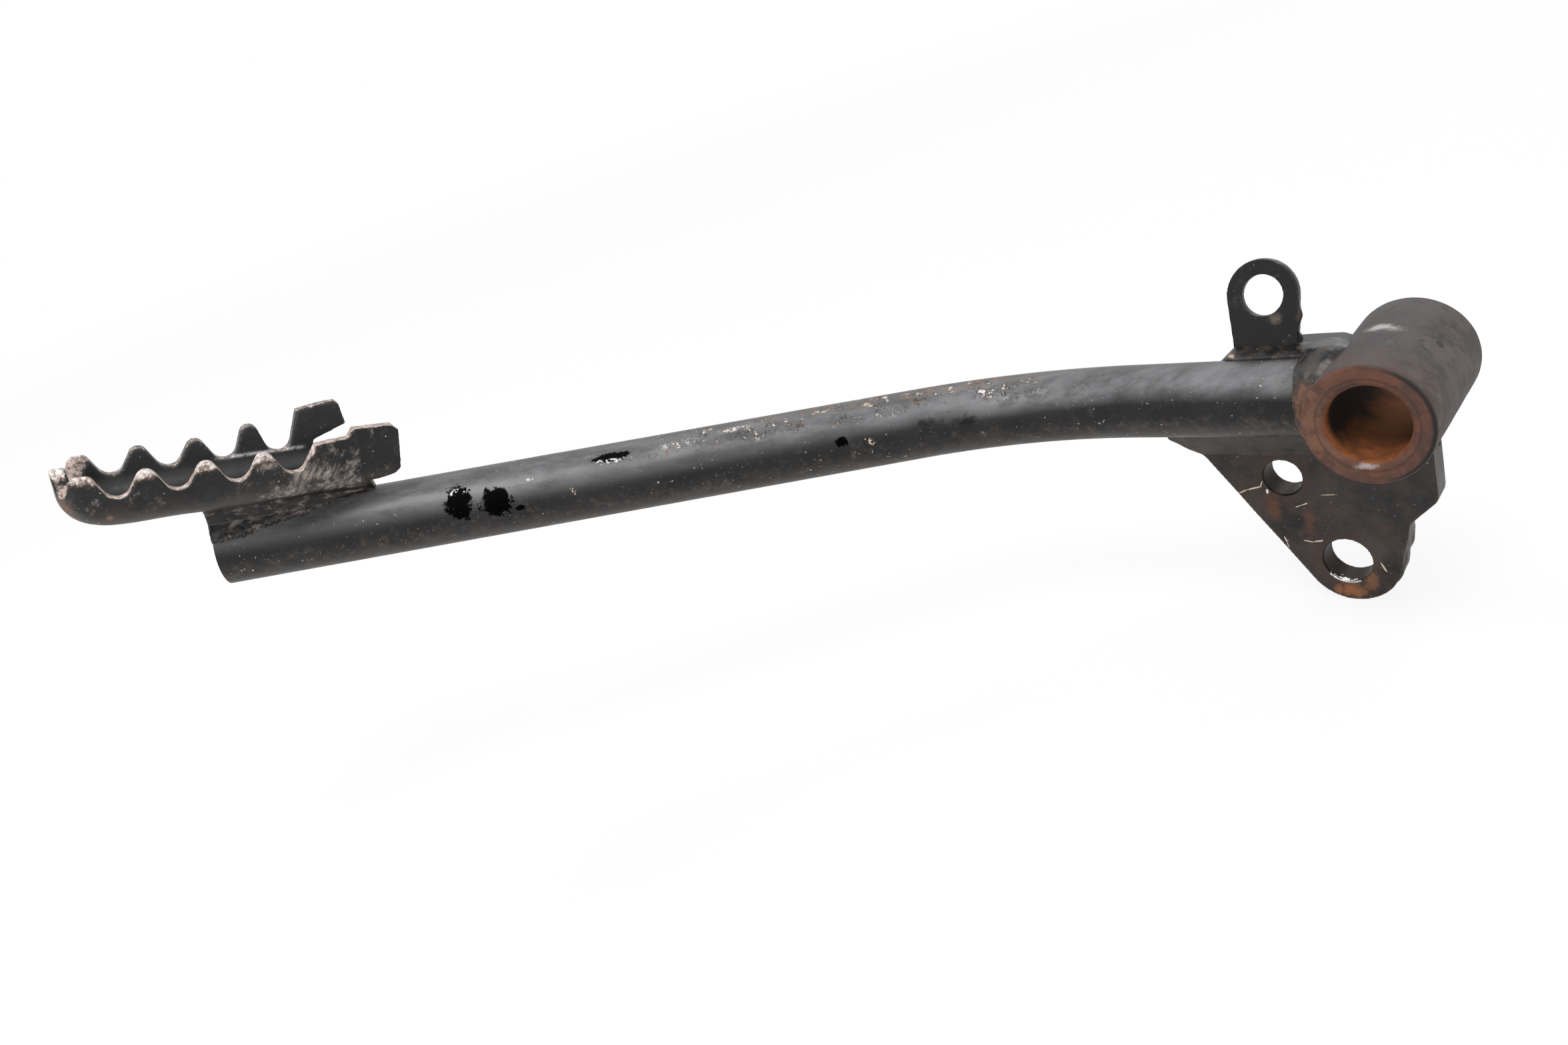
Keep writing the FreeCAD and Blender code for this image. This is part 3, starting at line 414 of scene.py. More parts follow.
# the side of the tube on which a grey sheen is painted into the colour
SHEEN_SIDE = (0.3, -0.45, 0.82)
SCUFF_RUN = TREAD.to_3x3() @ Vector((0.5, 0, 0.87))
PLATE_SCRATCHES = (
    # start and end as X and Z on the plate's near face, width, in millimetres
    ((-33.0, -23.9), (-30.9, -22.9), 0.16),
    ((-31.1, -23.0), (-28.0, -22.2), 0.22),
    ((-28.4, -22.4), (-27.7, -20.9), 0.14),
    ((-22.2, -26.7), (-20.6, -26.1), 0.15),
    ((-20.9, -26.2), (-19.3, -25.6), 0.17),
    ((-21.6, -34.0), (-19.4, -34.4), 0.15),
    ((-19.6, -34.3), (-17.4, -33.9), 0.2),
    ((-25.2, -33.3), (-24.7, -34.7), 0.14),
    ((-24.8, -34.5), (-24.5, -36.2), 0.12),
    ((-7.4, -38.2), (-6.4, -40.4), 0.2),
    ((-17.0, -23.9), (-13.5, -23.7), 0.1),
)


def painted(name, dust=1.0, specks=1.0):
    """Satin black paint: hazy patches, fine orange peel, brown dust below and clusters of pale flecks."""
    g = Finish(name, BLACK, 0.4, 0.3)
    cloud = g.noise(13.0, 5.0)
    fine = g.noise(1.3, 5.0, 0.65)
    g.colour = g.mix(g.step(cloud, 0.35, 0.75), BLACK, HAZE)
    g.rough = g.math("ADD", g.span(cloud, 0.2, 0.46), g.span(fine, -0.06, 0.06))
    g.height = g.times(fine, 0.16)
    down = g.step(g.axis(g.normal, 2), 0.05, -0.8)
    patchy = g.step(g.noise(5.0, 6.0, 0.7, 31.0), 0.3, 0.65)
    g.cover(g.times(down, patchy, 0.8 * dust), DUST, 0.75)
    mottle = g.step(g.noise(2.6, 6.0, 0.75, 73.0), 0.52, 0.74)
    g.cover(g.times(mottle, 0.5), (0.055, 0.052, 0.05), 0.55)
    flecks = g.step(g.noise(0.62, 2.0, 0.5, 44.0), 0.735 - 0.03 * specks, 0.765 - 0.03 * specks)
    cluster = g.step(g.noise(9.0, 4.0, 0.65, 21.0), 0.4, 0.6)
    tone = g.mix(g.noise(3.0, 1.0, 0.5, 9.0), (0.62, 0.59, 0.56), (0.34, 0.25, 0.19))
    g.cover(g.times(flecks, g.span(cluster, 0.25, 1.0)), tone, 0.7, 0.9)
    return g


def chips(g, where, low=0.54):
    """Flaked paint in a region: primer and a little rust, each flake with a dark rim."""
    grain = g.noise(1.5, 6.0, 0.7, 57.0)
    cluster = g.step(g.noise(6.5, 3.0, 0.6, 13.0), 0.45, 0.6)
    ground = g.times(where, cluster)
    g.cover(g.times(ground, g.step(grain, low - 0.05, low)), BLACK, 0.3, -0.5)
    tint = g.step(g.noise(4.0, 2.0, 0.5, 91.0), 0.5, 0.62)
    g.cover(g.times(ground, g.step(grain, low + 0.01, low + 0.05)), g.mix(tint, PRIMER, ORANGE), 0.65, 0.6)


def tube_paint():
    g = painted("tube_paint", 0.6, 1.25)
    # painted highlight: a streaky pale grey on the faces turned to that side stands in for the lamp's sheen
    painted_sheen = g.step(g.facing(SHEEN_SIDE), 0.68, 0.97)
    sheen_streaks = g.span(g.step(g.noise(6.0, 7.0, 0.72, 77.0, (2.5, 1, 1), ARM_AXIS), 0.3, 0.7), 0.35, 1.15)
    g.cover(g.times(painted_sheen, sheen_streaks, 0.8), (0.18, 0.181, 0.187), 0.42)
    under = g.times(g.step(g.axis(g.normal, 2), 0.1, -0.35),
                    g.step(g.noise(2.0, 6.0, 0.75, 15.0), 0.5, 0.66))
    g.cover(g.times(under, 0.45), (0.115, 0.09, 0.072), 0.75)
    upper = g.step(g.axis(g.normal, 2), 0.55, 0.8)
    along = g.step(g.axis(g.place, 0), -0.130, -0.120)
    before = g.step(g.axis(g.place, 0), -0.055, -0.075)
    chips(g, g.times(upper, along, before), 0.55)
    crest = g.times(g.step(g.axis(g.normal, 2), 0.9, 0.97), before)
    rusty = g.step(g.noise(2.2, 5.0, 0.7, 5.0), 0.5, 0.62)
    bent = g.span(g.step(g.axis(g.place, 0), -0.112, -0.098), 0.12, 0.8)
    g.cover(g.times(crest, rusty, bent), (0.21, 0.125, 0.085), 0.75)
    ragged = g.span(g.noise(1.4, 6.0, 0.7, 6.0), -1.2, 1.2)
    peeled = g.spots(ragged, ARM_AXIS, 0.2, (
        ((-148.6, -89.2, 20.4), (2.9, 3.7, 3.7)),
        ((-143.2, -84.6, 18.0), (3.2, 3.2, 3.2)),
        ((-140.3, -82.0, 15.6), (1.0, 0.6, 0.6)),
        ((-128.2, -65.6, 18.9), (4.6, 1.2, 1.2)),
        ((-94.6, -36.3, 7.4), (1.4, 1.0, 1.0)),
    ))
    g.cover(peeled, (0.002, 0.002, 0.002), 0.6, -0.15, 1.0)
    thin = g.spots(ragged, ARM_AXIS, 1.0, (
        ((-82.2, -23.7, 5.6), (3.4, 1.8, 1.8)),
        ((-76.1, -18.7, 4.0), (3.4, 1.8, 1.8)),
    ))
    g.cover(g.times(thin, 0.8), (0.004, 0.004, 0.004), 0.5, None, 0.8)
    flakes = g.step(g.noise(1.1, 6.0, 0.72, 33.0), 0.5, 0.56)
    for colour, places in (
        (PRIMER, (((-119.1, -56.4, 16.8), (4.2, 1.5, 1.5)),
                  ((-111.0, -46.5, 15.8), (5.0, 1.1, 1.1)),
                  ((-139.0, -78.2, 19.9), (0.8, 0.6, 0.6)))),
        # painted highlights: these white flecks stand in for the lamp's glints on the upper edge of a
        # peeled blotch and the lower edge of the dark streak
        ((0.75, 0.75, 0.75), (((-149.2, -88.2, 22.2), (3.0, 0.8, 0.8)),
                              ((-127.9, -66.2, 18.1), (4.2, 0.7, 0.7)))),
        (ORANGE, (((-119.6, -58.0, 16.3), (1.6, 0.9, 0.9)),)),
        (CREAM, (((-99.6, -33.8, 13.4), (2.6, 0.9, 0.9)),
                 ((-92.6, -27.7, 11.7), (1.4, 0.8, 0.8)),
                 ((-132.6, -74.2, 15.4), (0.7, 1.1, 1.1)),
                 ((-90.3, -32.1, 5.8), (0.8, 1.0, 1.0)))),
    ):
        g.cover(g.times(g.spots(ragged, ARM_AXIS, 0.6, places), flakes), colour, 0.6, 0.6)
    dents = g.spots(ragged, (1, 0, 0), 0.8, (
        ((-70.1, -13.0, 6.3), (3.4, 2.2, 2.2)),
        ((-63.8, -10.1, 6.0), (3.4, 2.2, 2.2)),
    ))
    g.cover(dents, None, 0.22, g.times(g.noise(1.6, 4.0, 0.6, 3.0), 2.2))
    return g.done()


def tread_paint():
    """Black paint worn through on the rim: dirty metal on the crowns, rust below, a scuffed near wall; the
    inner faces painted lighter as painted light, and a painted highlight along the far wall's inner crease.
    """
    g = painted("tread_paint", 0.6, 0.8)
    streaks = g.step(g.noise(0.8, 6.0, 0.78, 19.0, (5, 1, 1), SCUFF_RUN), 0.42, 0.62)
    patches = g.noise(4.5, 7.0, 0.75, 27.0)
    scuff = g.step(g.math("ADD", g.attribute("scuff"), g.span(patches, -1.9, 1.9)), 0.35, 0.85)
    tan = g.mix(g.noise(1.6, 5.0, 0.7, 14.0), (0.07, 0.055, 0.046), (0.46, 0.4, 0.355))
    g.cover(g.times(scuff, g.span(streaks, 0.12, 0.9)), tan, 0.65)
    # painted light: the walls' inner faces are painted a lighter grey that stands in for the light on them
    g.cover(g.times(g.attribute("inner"), 0.6), (0.042, 0.042, 0.044), 0.45)
    # painted highlight: a broken pale line along the far wall's inner crease stands in for the lamp's glint
    # there
    crease_glint = g.times(g.attribute("crease_glint"), g.step(g.noise(0.9, 4.0, 0.6, 51.0), 0.32, 0.52))
    g.cover(crease_glint, (0.72, 0.7, 0.68), 0.35)
    rusted = g.spots(g.span(g.noise(1.8, 6.0, 0.72, 64.0), -1.1, 1.1), SCUFF_RUN, 0.8, (
        (tuple(TREAD @ Vector((-50.0, -3.0, 4.5))), (3.2, 4.0, 4.0)),
        (tuple(TREAD @ Vector((-44.0, -8.8, 2.6))), (0.8, 2.4, 0.8)),
    ))
    g.cover(g.times(rusted, 0.85), (0.2, 0.105, 0.064), 0.65)
    flakes = g.span(g.noise(1.5, 6.0, 0.72, 41.0), -1.0, 1.0)
    grime = g.noise(0.8, 5.0, 0.72, 23.0)
    crown = g.attribute("crown")
    below = g.step(g.math("ADD", crown, flakes), 0.3, 0.7)
    brown = g.mix(g.step(grime, 0.42, 0.6), (0.03, 0.022, 0.019), (0.17, 0.09, 0.056))
    g.cover(g.times(below, 0.85), brown, 0.65)
    rim = g.attribute("rim")
    worn = g.step(g.math("ADD", rim, g.times(flakes, 0.75)), 0.3, 0.6)
    dull = g.mix(g.step(grime, 0.4, 0.6), (0.15, 0.105, 0.085), (0.5, 0.405, 0.365))
    g.cover(worn, dull, 0.5, -0.15, 0.1)
    crest = g.times(crown, g.span(rim, 0.8, 1.05))
    bright = g.step(g.math("ADD", crest, g.times(flakes, 0.7)), 0.5, 0.8)
    g.cover(bright, g.mix(g.step(grime, 0.4, 0.6), (0.24, 0.18, 0.155), BARE), 0.4, 0.0, 0.15)
    edge = g.times(g.step(g.attribute("edge"), 0.35, 0.7), g.step(flakes, -0.1, 0.2))
    g.cover(g.times(edge, 0.85), (0.52, 0.425, 0.38), 0.55)
    return g.done()


def plate_paint():
    g = painted("plate_paint", 0.8, 0.7)
    stain = g.step(g.noise(9.0, 5.0, 0.6, 3.0), 0.3, 0.75)
    g.cover(g.times(stain, 0.85), (0.052, 0.041, 0.035), 0.5)
    blush = g.step(g.noise(3.4, 6.0, 0.72, 61.0), 0.42, 0.85)
    g.cover(g.times(blush, 0.7), (0.085, 0.046, 0.03), 0.62)
    # painted shade: faces turned up are painted near black to take back the lamp light they catch
    g.cover(g.times(g.step(g.axis(g.normal, 2), 0.6, 0.95), 0.8), (0.012, 0.012, 0.012), 0.5)
    for centre, radius in ((ROD_HOLE, ROD_HOLE_RADIUS), (SPRING_HOLE, SPRING_HOLE_RADIUS)):
        away = g.from_bore(centre)
        ragged = g.span(g.noise(2.4, 5.0, 0.7, centre[0]), -2.0, 2.0)
        ring = g.step(g.math("ADD", away, ragged), radius + 3.2, radius + 0.2)
        g.cover(g.times(ring, 0.6), (0.05, 0.026, 0.019), 0.5)
        g.cover(g.step(away, radius + 0.25, radius), (0.014, 0.010, 0.008), 0.5, None, 1.0)
    for centre, radii, colour in (
        ((-13.6, PLATE_FACE, -45.0), (4.6, 1.4, 2.2), (0.26, 0.105, 0.042)),
        ((-9.4, PLATE_FACE, -42.4), (1.9, 1.4, 3.2), (0.18, 0.082, 0.042)),
        ((-8.4, PLATE_FACE, -35.5), (4.0, 1.4, 6.0), (0.062, 0.047, 0.038)),
        ((-26.4, PLATE_FACE, -26.4), (2.2, 1.4, 4.0), (0.10, 0.042, 0.025)),
        ((-19.6, PLATE_FACE, -30.0), (1.8, 1.4, 5.0), (0.085, 0.04, 0.026)),
    ):
        g.cover(g.times(g.spot(centre, radii, (1, 0, 0), 0.8, 1.8, 0.85), 0.92), colour, 0.68, 0.2)
    marks = []
    for start, end, width in PLATE_SCRATCHES:
        near_start = (start[0], PLATE_FACE, start[1])
        near_end = (end[0], PLATE_FACE, end[1])
        marks.append(g.line(near_start, near_end, width, 0.75))
    g.cover(g.most(*marks), CREAM, 0.6, 0.3)
    # painted highlights: a thin near-white line on the rod hole's lower-left lip and a small near-white dot
    # stand in for reflections on wet metal
    away = g.from_bore(ROD_HOLE)
    lip_glint = g.times(g.step(away, ROD_HOLE_RADIUS - 0.1, ROD_HOLE_RADIUS + 0.1),
                  g.step(away, ROD_HOLE_RADIUS + 0.35, ROD_HOLE_RADIUS + 0.15))
    lower_left = (ROD_HOLE[0] - 1.6, PLATE_FACE, ROD_HOLE[2] - 4.4)
    lip_glint = g.times(lip_glint, g.spot(lower_left, (3.4, 1.2, 1.8), (1, 0, 0), 2.0, 0.7))
    wet_glint = g.most(lip_glint, g.spot((-27.1, PLATE_FACE, -23.3), (0.28, 0.9, 0.55), (1, 0, 0), 0.3, 0.8))
    g.cover(wet_glint, (0.7, 0.69, 0.68), 0.12)
    worn = g.times(g.step(g.attribute("edge"), 0.3, 0.65), g.step(g.noise(3.0, 5.0, 0.7, 9.0), 0.45, 0.6))
    g.cover(g.times(worn, 0.7), (0.17, 0.135, 0.105), 0.5)
    return g.done()


def tab_paint():
    g = painted("tab_paint", 0.8, -0.4)
    smudge = g.spot((-20.9, 5.6, 12.3), (1.8, 1.5, 1.6), (1, 0, 0), 0.6, 1.5, 0.9)
    g.cover(g.times(smudge, 0.75), (0.13, 0.105, 0.09), 0.7)
    worn = g.times(g.step(g.attribute("edge"), 0.3, 0.65), g.step(g.noise(2.4, 5.0, 0.7, 9.0), 0.5, 0.62))
    g.cover(g.times(worn, 0.7), (0.14, 0.115, 0.10), 0.5)
    burr = g.spot((-16.2, 5.9, 12.2), (1.2, 2.0, 1.6), (1, 0, 0), 0.4, 1.0, 0.8)
    g.cover(g.times(burr, 0.8), DARK_RUST, 0.7)
    return g.done()


def boss_paint():
    """The pivot boss: dusty worn paint outside, rust on its ends and in its bore, painted shade over the
    bore's wall above its bottom and a painted highlight on its near mouth.
    """
    g = Finish("boss_paint", (0.07, 0.066, 0.064), 0.58, 0.25)
    cloud = g.noise(9.0, 6.0, 0.65)
    fine = g.noise(0.9, 6.0, 0.75, 7.0)
    g.colour = g.mix(g.step(cloud, 0.3, 0.7), (0.02, 0.018, 0.0172), (0.058, 0.053, 0.051))
    g.rough = g.span(cloud, 0.5, 0.75)
    g.height = g.times(fine, 0.6)
    g.cover(g.times(g.step(fine, 0.48, 0.7), 0.45), (0.09, 0.08, 0.076), 0.7)
    sideways = g.axis(g.normal, 0)
    dust = g.times(g.step(g.noise(5.5, 6.0, 0.7, 53.0), 0.36, 0.62), g.step(sideways, 0.1, 0.95))
    g.cover(g.times(dust, 0.8), (0.115, 0.097, 0.09), 0.7)
    soot = g.step(g.noise(3.6, 6.0, 0.75, 67.0), 0.5, 0.66)
    g.cover(g.times(soot, 0.8), (0.008, 0.007, 0.0065), 0.45)
    along = g.axis(g.place, 1)
    near = g.step(along, -BOSS_HALF * MM + 0.012, -BOSS_HALF * MM + 0.001)
    brown = g.times(near, g.step(g.noise(3.0, 6.0, 0.72, 29.0), 0.36, 0.6))
    g.cover(g.times(brown, 0.8), (0.075, 0.045, 0.036), 0.75)
    left = g.times(near, g.step(sideways, -0.5, -0.95))
    g.cover(g.times(left, g.step(g.noise(2.0, 6.0, 0.7, 37.0), 0.35, 0.6)), (0.17, 0.085, 0.05), 0.75)
    rubbed = g.spot((-1.0, 1.3, 11.0), (4.6, 2.0, 1.7), (1, -0.25, 0.1), 0.9, 1.6, 0.95)
    g.cover(g.times(rubbed, 0.85), (0.36, 0.35, 0.34), 0.5)
    for centre in ((8.2, 0.8, 7.5), (2.0, -5.0, 10.9)):
        g.cover(g.spot(centre, (0.9, 0.9, 0.9), (1, 0, 0), 0.4, 0.8), (0.02, 0.017, 0.016), 0.5, -0.4)
    away = g.from_bore((0, 0, 0))
    ends = g.step(g.math("ABSOLUTE", g.axis(g.normal, 1)), 0.45, 0.75)
    rust = g.mix(g.step(g.noise(4.0, 6.0, 0.7, 83.0), 0.35, 0.65), DARK_RUST, RUST)
    g.cover(ends, rust, 0.72, g.times(g.noise(0.7, 4.0, 0.6), 0.3))
    tan = g.times(ends, g.step(g.axis(g.place, 0), -0.002, -0.0085),
                  g.step(g.noise(3.6, 5.0, 0.6, 43.0), 0.4, 0.65))
    g.cover(g.times(tan, 0.5), (0.19, 0.098, 0.058), 0.75)
    for pit in ((-7.6, -14.4, -2.4), (-8.3, -14.5, -3.6)):
        g.cover(g.spot(pit, (0.5, 0.6, 0.7), (1, 0, 0), 0.4, 0.8), (0.008, 0.006, 0.005), 0.6, -0.4)
    rim = g.times(g.step(away, BOSS_RADIUS - 1.1, BOSS_RADIUS - 0.5),
                  g.step(g.axis(g.place, 0), 0.001, 0.006))
    g.cover(g.times(ends, rim, 0.95), (0.006, 0.006, 0.007), 0.4)
    seam = g.times(g.step(away, BORE_RADIUS + 1.9, BORE_RADIUS + 1.6),
                   g.step(away, BORE_RADIUS + 1.2, BORE_RADIUS + 1.5))
    g.cover(g.times(ends, seam, 0.5), (0.03, 0.017, 0.013), 0.7, -0.3)
    inside = g.step(away, BORE_RADIUS + 0.45, BORE_RADIUS + 0.1)
    depth = g.math("ABSOLUTE", along)
    shallow = g.step(depth, BOSS_HALF * MM - 0.016, BOSS_HALF * MM - 0.004)
    bed = g.mix(g.step(g.noise(2.6, 6.0, 0.7, 47.0), 0.35, 0.68), (0.17, 0.055, 0.02), (0.27, 0.092, 0.028))
    g.cover(inside, g.mix(shallow, (0.22, 0.08, 0.02), bed), 0.85, None, 0.45)
    # painted shade: the bore's wall above its bottom and more than a few millimetres in from the ends is
    # painted near black
    ragged = g.span(g.noise(5.0, 5.0, 0.6, 88.0), -0.0035, 0.0035)
    painted_bore_shade = g.times(inside, g.step(g.math("ADD", g.axis(g.place, 2), ragged), -0.0072, -0.0026),
                     g.step(depth, BOSS_HALF * MM - 0.0008, BOSS_HALF * MM - 0.0035))
    g.cover(g.times(painted_bore_shade, 0.97), (0.008, 0.005, 0.0035), 0.85)
    # painted highlight: a pale grey glint on the lower rim of the bore's near mouth
    mouth_glint = g.spot((-1.0, -15.4, -7.6), (2.6, 1.2, 0.7), (1, 0, 0), 0.9, 1.2, 0.8)
    g.cover(g.times(mouth_glint, 0.7), (0.34, 0.29, 0.28), 0.3)
    return g.done(0.25)


def weld_paint(name, rust_at=None, rust_radii=None, scuffs=0.0, marks=(), dust=0.9, grime=0.65):
    """Paint over a bead: dirt, pale scuffs along the arm, worn ridges, a rusted place, single marks."""
    g = painted(name, dust, 0.8)
    dirt = g.step(g.noise(3.0, 6.0, 0.7, 17.0), 0.4, 0.68)
    g.cover(g.times(dirt, grime), (0.055, 0.044, 0.037), 0.6)
    if scuffs:
        tan = g.times(g.step(g.noise(1.0, 6.0, 0.75, 39.0, (2.5, 1, 1), ARM_AXIS), 0.5, 0.62),
                      g.step(g.noise(5.0, 3.0, 0.5, 11.0), 0.4, 0.56))
        g.cover(g.times(tan, scuffs), (0.22, 0.185, 0.16), 0.7)
    worn = g.times(g.step(g.attribute("edge"), 0.2, 0.6), g.step(g.noise(1.8, 5.0, 0.7, 3.0), 0.5, 0.64))
    g.cover(g.times(worn, 0.5), (0.13, 0.105, 0.085), 0.5)
    if rust_at:
        red = g.spot(rust_at, rust_radii, (1, 0, 0), 0.5, 2.2, 0.8)
        tone = g.mix(g.step(g.noise(2.0, 6.0, 0.7, 71.0), 0.35, 0.65), DARK_RUST, (0.25, 0.115, 0.06))
        g.cover(g.times(red, 0.9), tone, 0.75)
    for start, end, width, wobble, colour in marks:
        g.cover(g.times(g.line(start, end, width, wobble), 0.75), colour, 0.6)
    return g.done(0.3)


# Pieces

# lengths in millimetres
TREAD_GRID, PLATE_GRID, TAB_GRID, WELD_GRID = 0.28, 0.3, 0.2, 0.24
# height and width of the painted highlight line along the far wall's inner crease
CREASE_HEIGHT, CREASE_WIDTH = 6.6, 0.25
BOSS_SINK = 1.3
BORE_MOUTH, BOSS_RIM = 1.3, 0.6
# a point's bulge, as a share of its edges, that counts as a sharp edge
FULL_EDGE = 0.3
# the far rim's wear as a share of the near rim's
FAR_WEAR = 0.45
# faces round a corner and round the boss, along its sides and across its ends
CORNER_STEPS, TURN_STEPS, SIDE_ROWS, END_ROWS = 6, 160, 48, 4


def new_piece(name, mesh, nodes, material):
    mesh.materials.clear()
    mesh.materials.append(material)
    mesh.shade_smooth()
    piece = bpy.data.objects.new(name, mesh)
    bpy.context.scene.collection.objects.link(piece)
    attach(piece, "root")
    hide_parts(*nodes)
    return piece


def rounded_copy(nodes, voxel_mm, smoothing, sunk_mm=()):
    """The nodes' meshes as one, sunk into what they join, with even fine faces and edges worn round."""
    work = bmesh.new()
    for offset in ((0, 0, 0), *sunk_mm):
        for node in nodes:
            old = len(work.verts)
            work.from_mesh(frame["nodes"][node].data)
            work.verts.ensure_lookup_table()
            bmesh.ops.translate(work, verts=work.verts[old:], vec=Vector(offset) * MM)
    joined = bpy.data.meshes.new("source")
    work.to_mesh(joined)
    work.free()
    source = bpy.data.objects.new("source", joined)
    bpy.context.scene.collection.objects.link(source)
    grid = source.modifiers.new("grid", "REMESH")
    grid.mode = "VOXEL"
    grid.voxel_size = voxel_mm * MM
    ease = source.modifiers.new("ease", "SMOOTH")
    ease.factor = 0.5
    ease.iterations = smoothing
    mesh = bpy.data.meshes.new_from_object(source.evaluated_get(bpy.context.evaluated_depsgraph_get()))
    bpy.data.objects.remove(source)
    drop_crumbs(mesh)
    return mesh


def drop_crumbs(mesh):
    """Keep the largest connected piece of a mesh and delete the crumbs that remeshing left."""
    work = bmesh.new()
    work.from_mesh(mesh)
    waiting = set(work.verts)
    islands = []
    while waiting:
        front = [waiting.pop()]
        island = list(front)
        while front:
            links = front.pop().link_edges
            fresh = [vertex for link in links for vertex in link.verts if vertex in waiting]
            waiting.difference_update(fresh)
            island += fresh
            front += fresh
        islands.append(island)
    islands.sort(key=len)
    for island in islands[:-1]:
        bmesh.ops.delete(work, geom=island, context="VERTS")
    work.to_mesh(mesh)
    work.free()


def displace(mesh, amount):
    """Move each point along its normal by a function of its place, both in millimetres."""
    normals = [vertex.normal.copy() for vertex in mesh.vertices]
    for vertex, normal in zip(mesh.vertices, normals):
        vertex.co += normal * amount(vertex.co / MM, normal) * MM
    mesh.update()


def set_attribute(mesh, name, values):
    mesh.attributes.new(name, "FLOAT", "POINT").data.foreach_set("value", values)


def spread_out(mesh, values, rounds):
    """The values of the points, each evened out with its neighbours' a number of times."""
    ends = [edge.vertices for edge in mesh.edges]
    for _ in range(rounds):
        total = list(values)
        count = [1] * len(total)
        for here, there in ends:
            total[here] += values[there]
            total[there] += values[here]
            count[here] += 1
            count[there] += 1
        values = [sum_here / share for sum_here, share in zip(total, count)]
    return values


def mark_edges(mesh):
    """How far each point stands out from its neighbours, as an attribute from 0 to 1."""
    places = [vertex.co for vertex in mesh.vertices]
    middle = [Vector() for _ in places]
    reach = [0.0] * len(places)
    count = [0] * len(places)
    for here, there in (edge.vertices for edge in mesh.edges):
        length = (places[here] - places[there]).length
        for one, other in ((here, there), (there, here)):
            middle[one] += places[other]
            reach[one] += length
            count[one] += 1
    bulge = []
    for vertex in mesh.vertices:
        ends = max(count[vertex.index], 1)
        away = vertex.co - middle[vertex.index] / ends
        bulge.append(away.dot(vertex.normal) / max(reach[vertex.index] / ends, MM * 0.01))
    bulge = spread_out(mesh, bulge, 2)
    set_attribute(mesh, "edge", [min(max(value / FULL_EDGE, 0.0), 1.0) for value in bulge])


def smooth_step(value, low, high):
    share = min(max((value - low) / (high - low), 0.0), 1.0)
    return share * share * (3 - 2 * share)


def lumps(place, size_mm, seed):
    return noise.noise(place / size_mm + Vector((seed, seed * 2.3, -seed)))


def make_tread():
    mesh = rounded_copy(["tread_pad"], TREAD_GRID, 4)

    def uneven(place, normal):
        return 0.10 * lumps(place, 5.0, 3.0) + 0.03 * lumps(place, 1.2, 8.0)

    displace(mesh, uneven)
    mark_edges(mesh)
    into_tread = TREAD.inverted()
    turned = into_tread.to_3x3()
    marks = {"rim": [], "crown": [], "scuff": [], "crease_glint": [], "inner": []}
    for vertex in mesh.vertices:
        along, across, up = into_tread @ (vertex.co / MM)
        normal = turned @ vertex.normal
        near = smooth_step(-across, 6.5, 8.0)
        nose = smooth_step(-along, 42.0, 46.0)
        teeth = 1.0 - smooth_step(along, FLANGE_FRONT, FLANGE_FRONT + 2.0)
        bared = max(near, nose, FAR_WEAR)
        from_middle = Vector((min(along - NOSE_CENTRE, 0.0), across))
        outward = from_middle.normalized().dot(normal.xy)
        cut = (1.0 - smooth_step(outward, 0.45, 0.8)) * (1.0 - smooth_step(-outward, 0.7, 0.92))
        upward = smooth_step(normal.z, 0.2, 0.7) * smooth_step(from_middle.length, 7.0, 7.7)
        marks["rim"].append(upward * cut * bared)
        tip = smooth_step(up, TIP_HEIGHT - 3.0, TIP_HEIGHT - 0.5)
        outer = 0.2 + 0.8 * smooth_step(outward, -0.5, 0.0)
        marks["crown"].append(tip * teeth * bared * outer)
        lower = smooth_step(-up - 0.45 * along, -10.5, -5.0)
        rear = smooth_step(along, -28.0, -9.0) * (1.0 - 0.8 * smooth_step(along, -4.0, 4.0))
        marks["scuff"].append(near * (0.05 + 0.6 * lower * rear))
        inner = smooth_step(-outward, 0.3, 0.7)
        marks["inner"].append(inner)
        bend = math.exp(-((up - CREASE_HEIGHT) / CREASE_WIDTH) ** 2) * smooth_step(across, 5.5, 6.5)
        marks["crease_glint"].append(bend * inner * smooth_step(along, -25.0, -21.0) * teeth)
    marks["rim"] = spread_out(mesh, marks["rim"], 3)
    for name, values in marks.items():
        set_attribute(mesh, name, values)
    return new_piece("tread_dressed", mesh, ["tread_pad"], tread_paint())


def reach_boss(mesh):
    """Draw the points next to the boss into it, so that the rounding leaves no gap there."""
    for vertex in mesh.vertices:
        away = Vector((vertex.co.x, 0.0, vertex.co.z))
        beyond = away.length / MM - BOSS_RADIUS
        vertex.co -= away.normalized() * BOSS_SINK * (1.0 - smooth_step(beyond, 0.4, 1.6)) * MM
    mesh.update()


def make_plate():
    mesh = rounded_copy(["lever_plate"], PLATE_GRID, 4)

    def torn(place, normal):
        """Rough on the lobe's rear edge and on the heel."""
        lobe = smooth_step(place.x, -6.5, -4.0) * smooth_step(-place.z, 29.0, 33.0)
        heel = smooth_step(place.x, 5.0, 7.0) * smooth_step(-place.z, 17.0, 20.0)
        return 0.08 * lumps(place, 6.0, 5.0) + 0.5 * max(lobe, heel) * lumps(place, 2.2, 7.0)

    displace(mesh, torn)
    reach_boss(mesh)
    mark_edges(mesh)
    return new_piece("plate_dressed", mesh, ["lever_plate"], plate_paint())


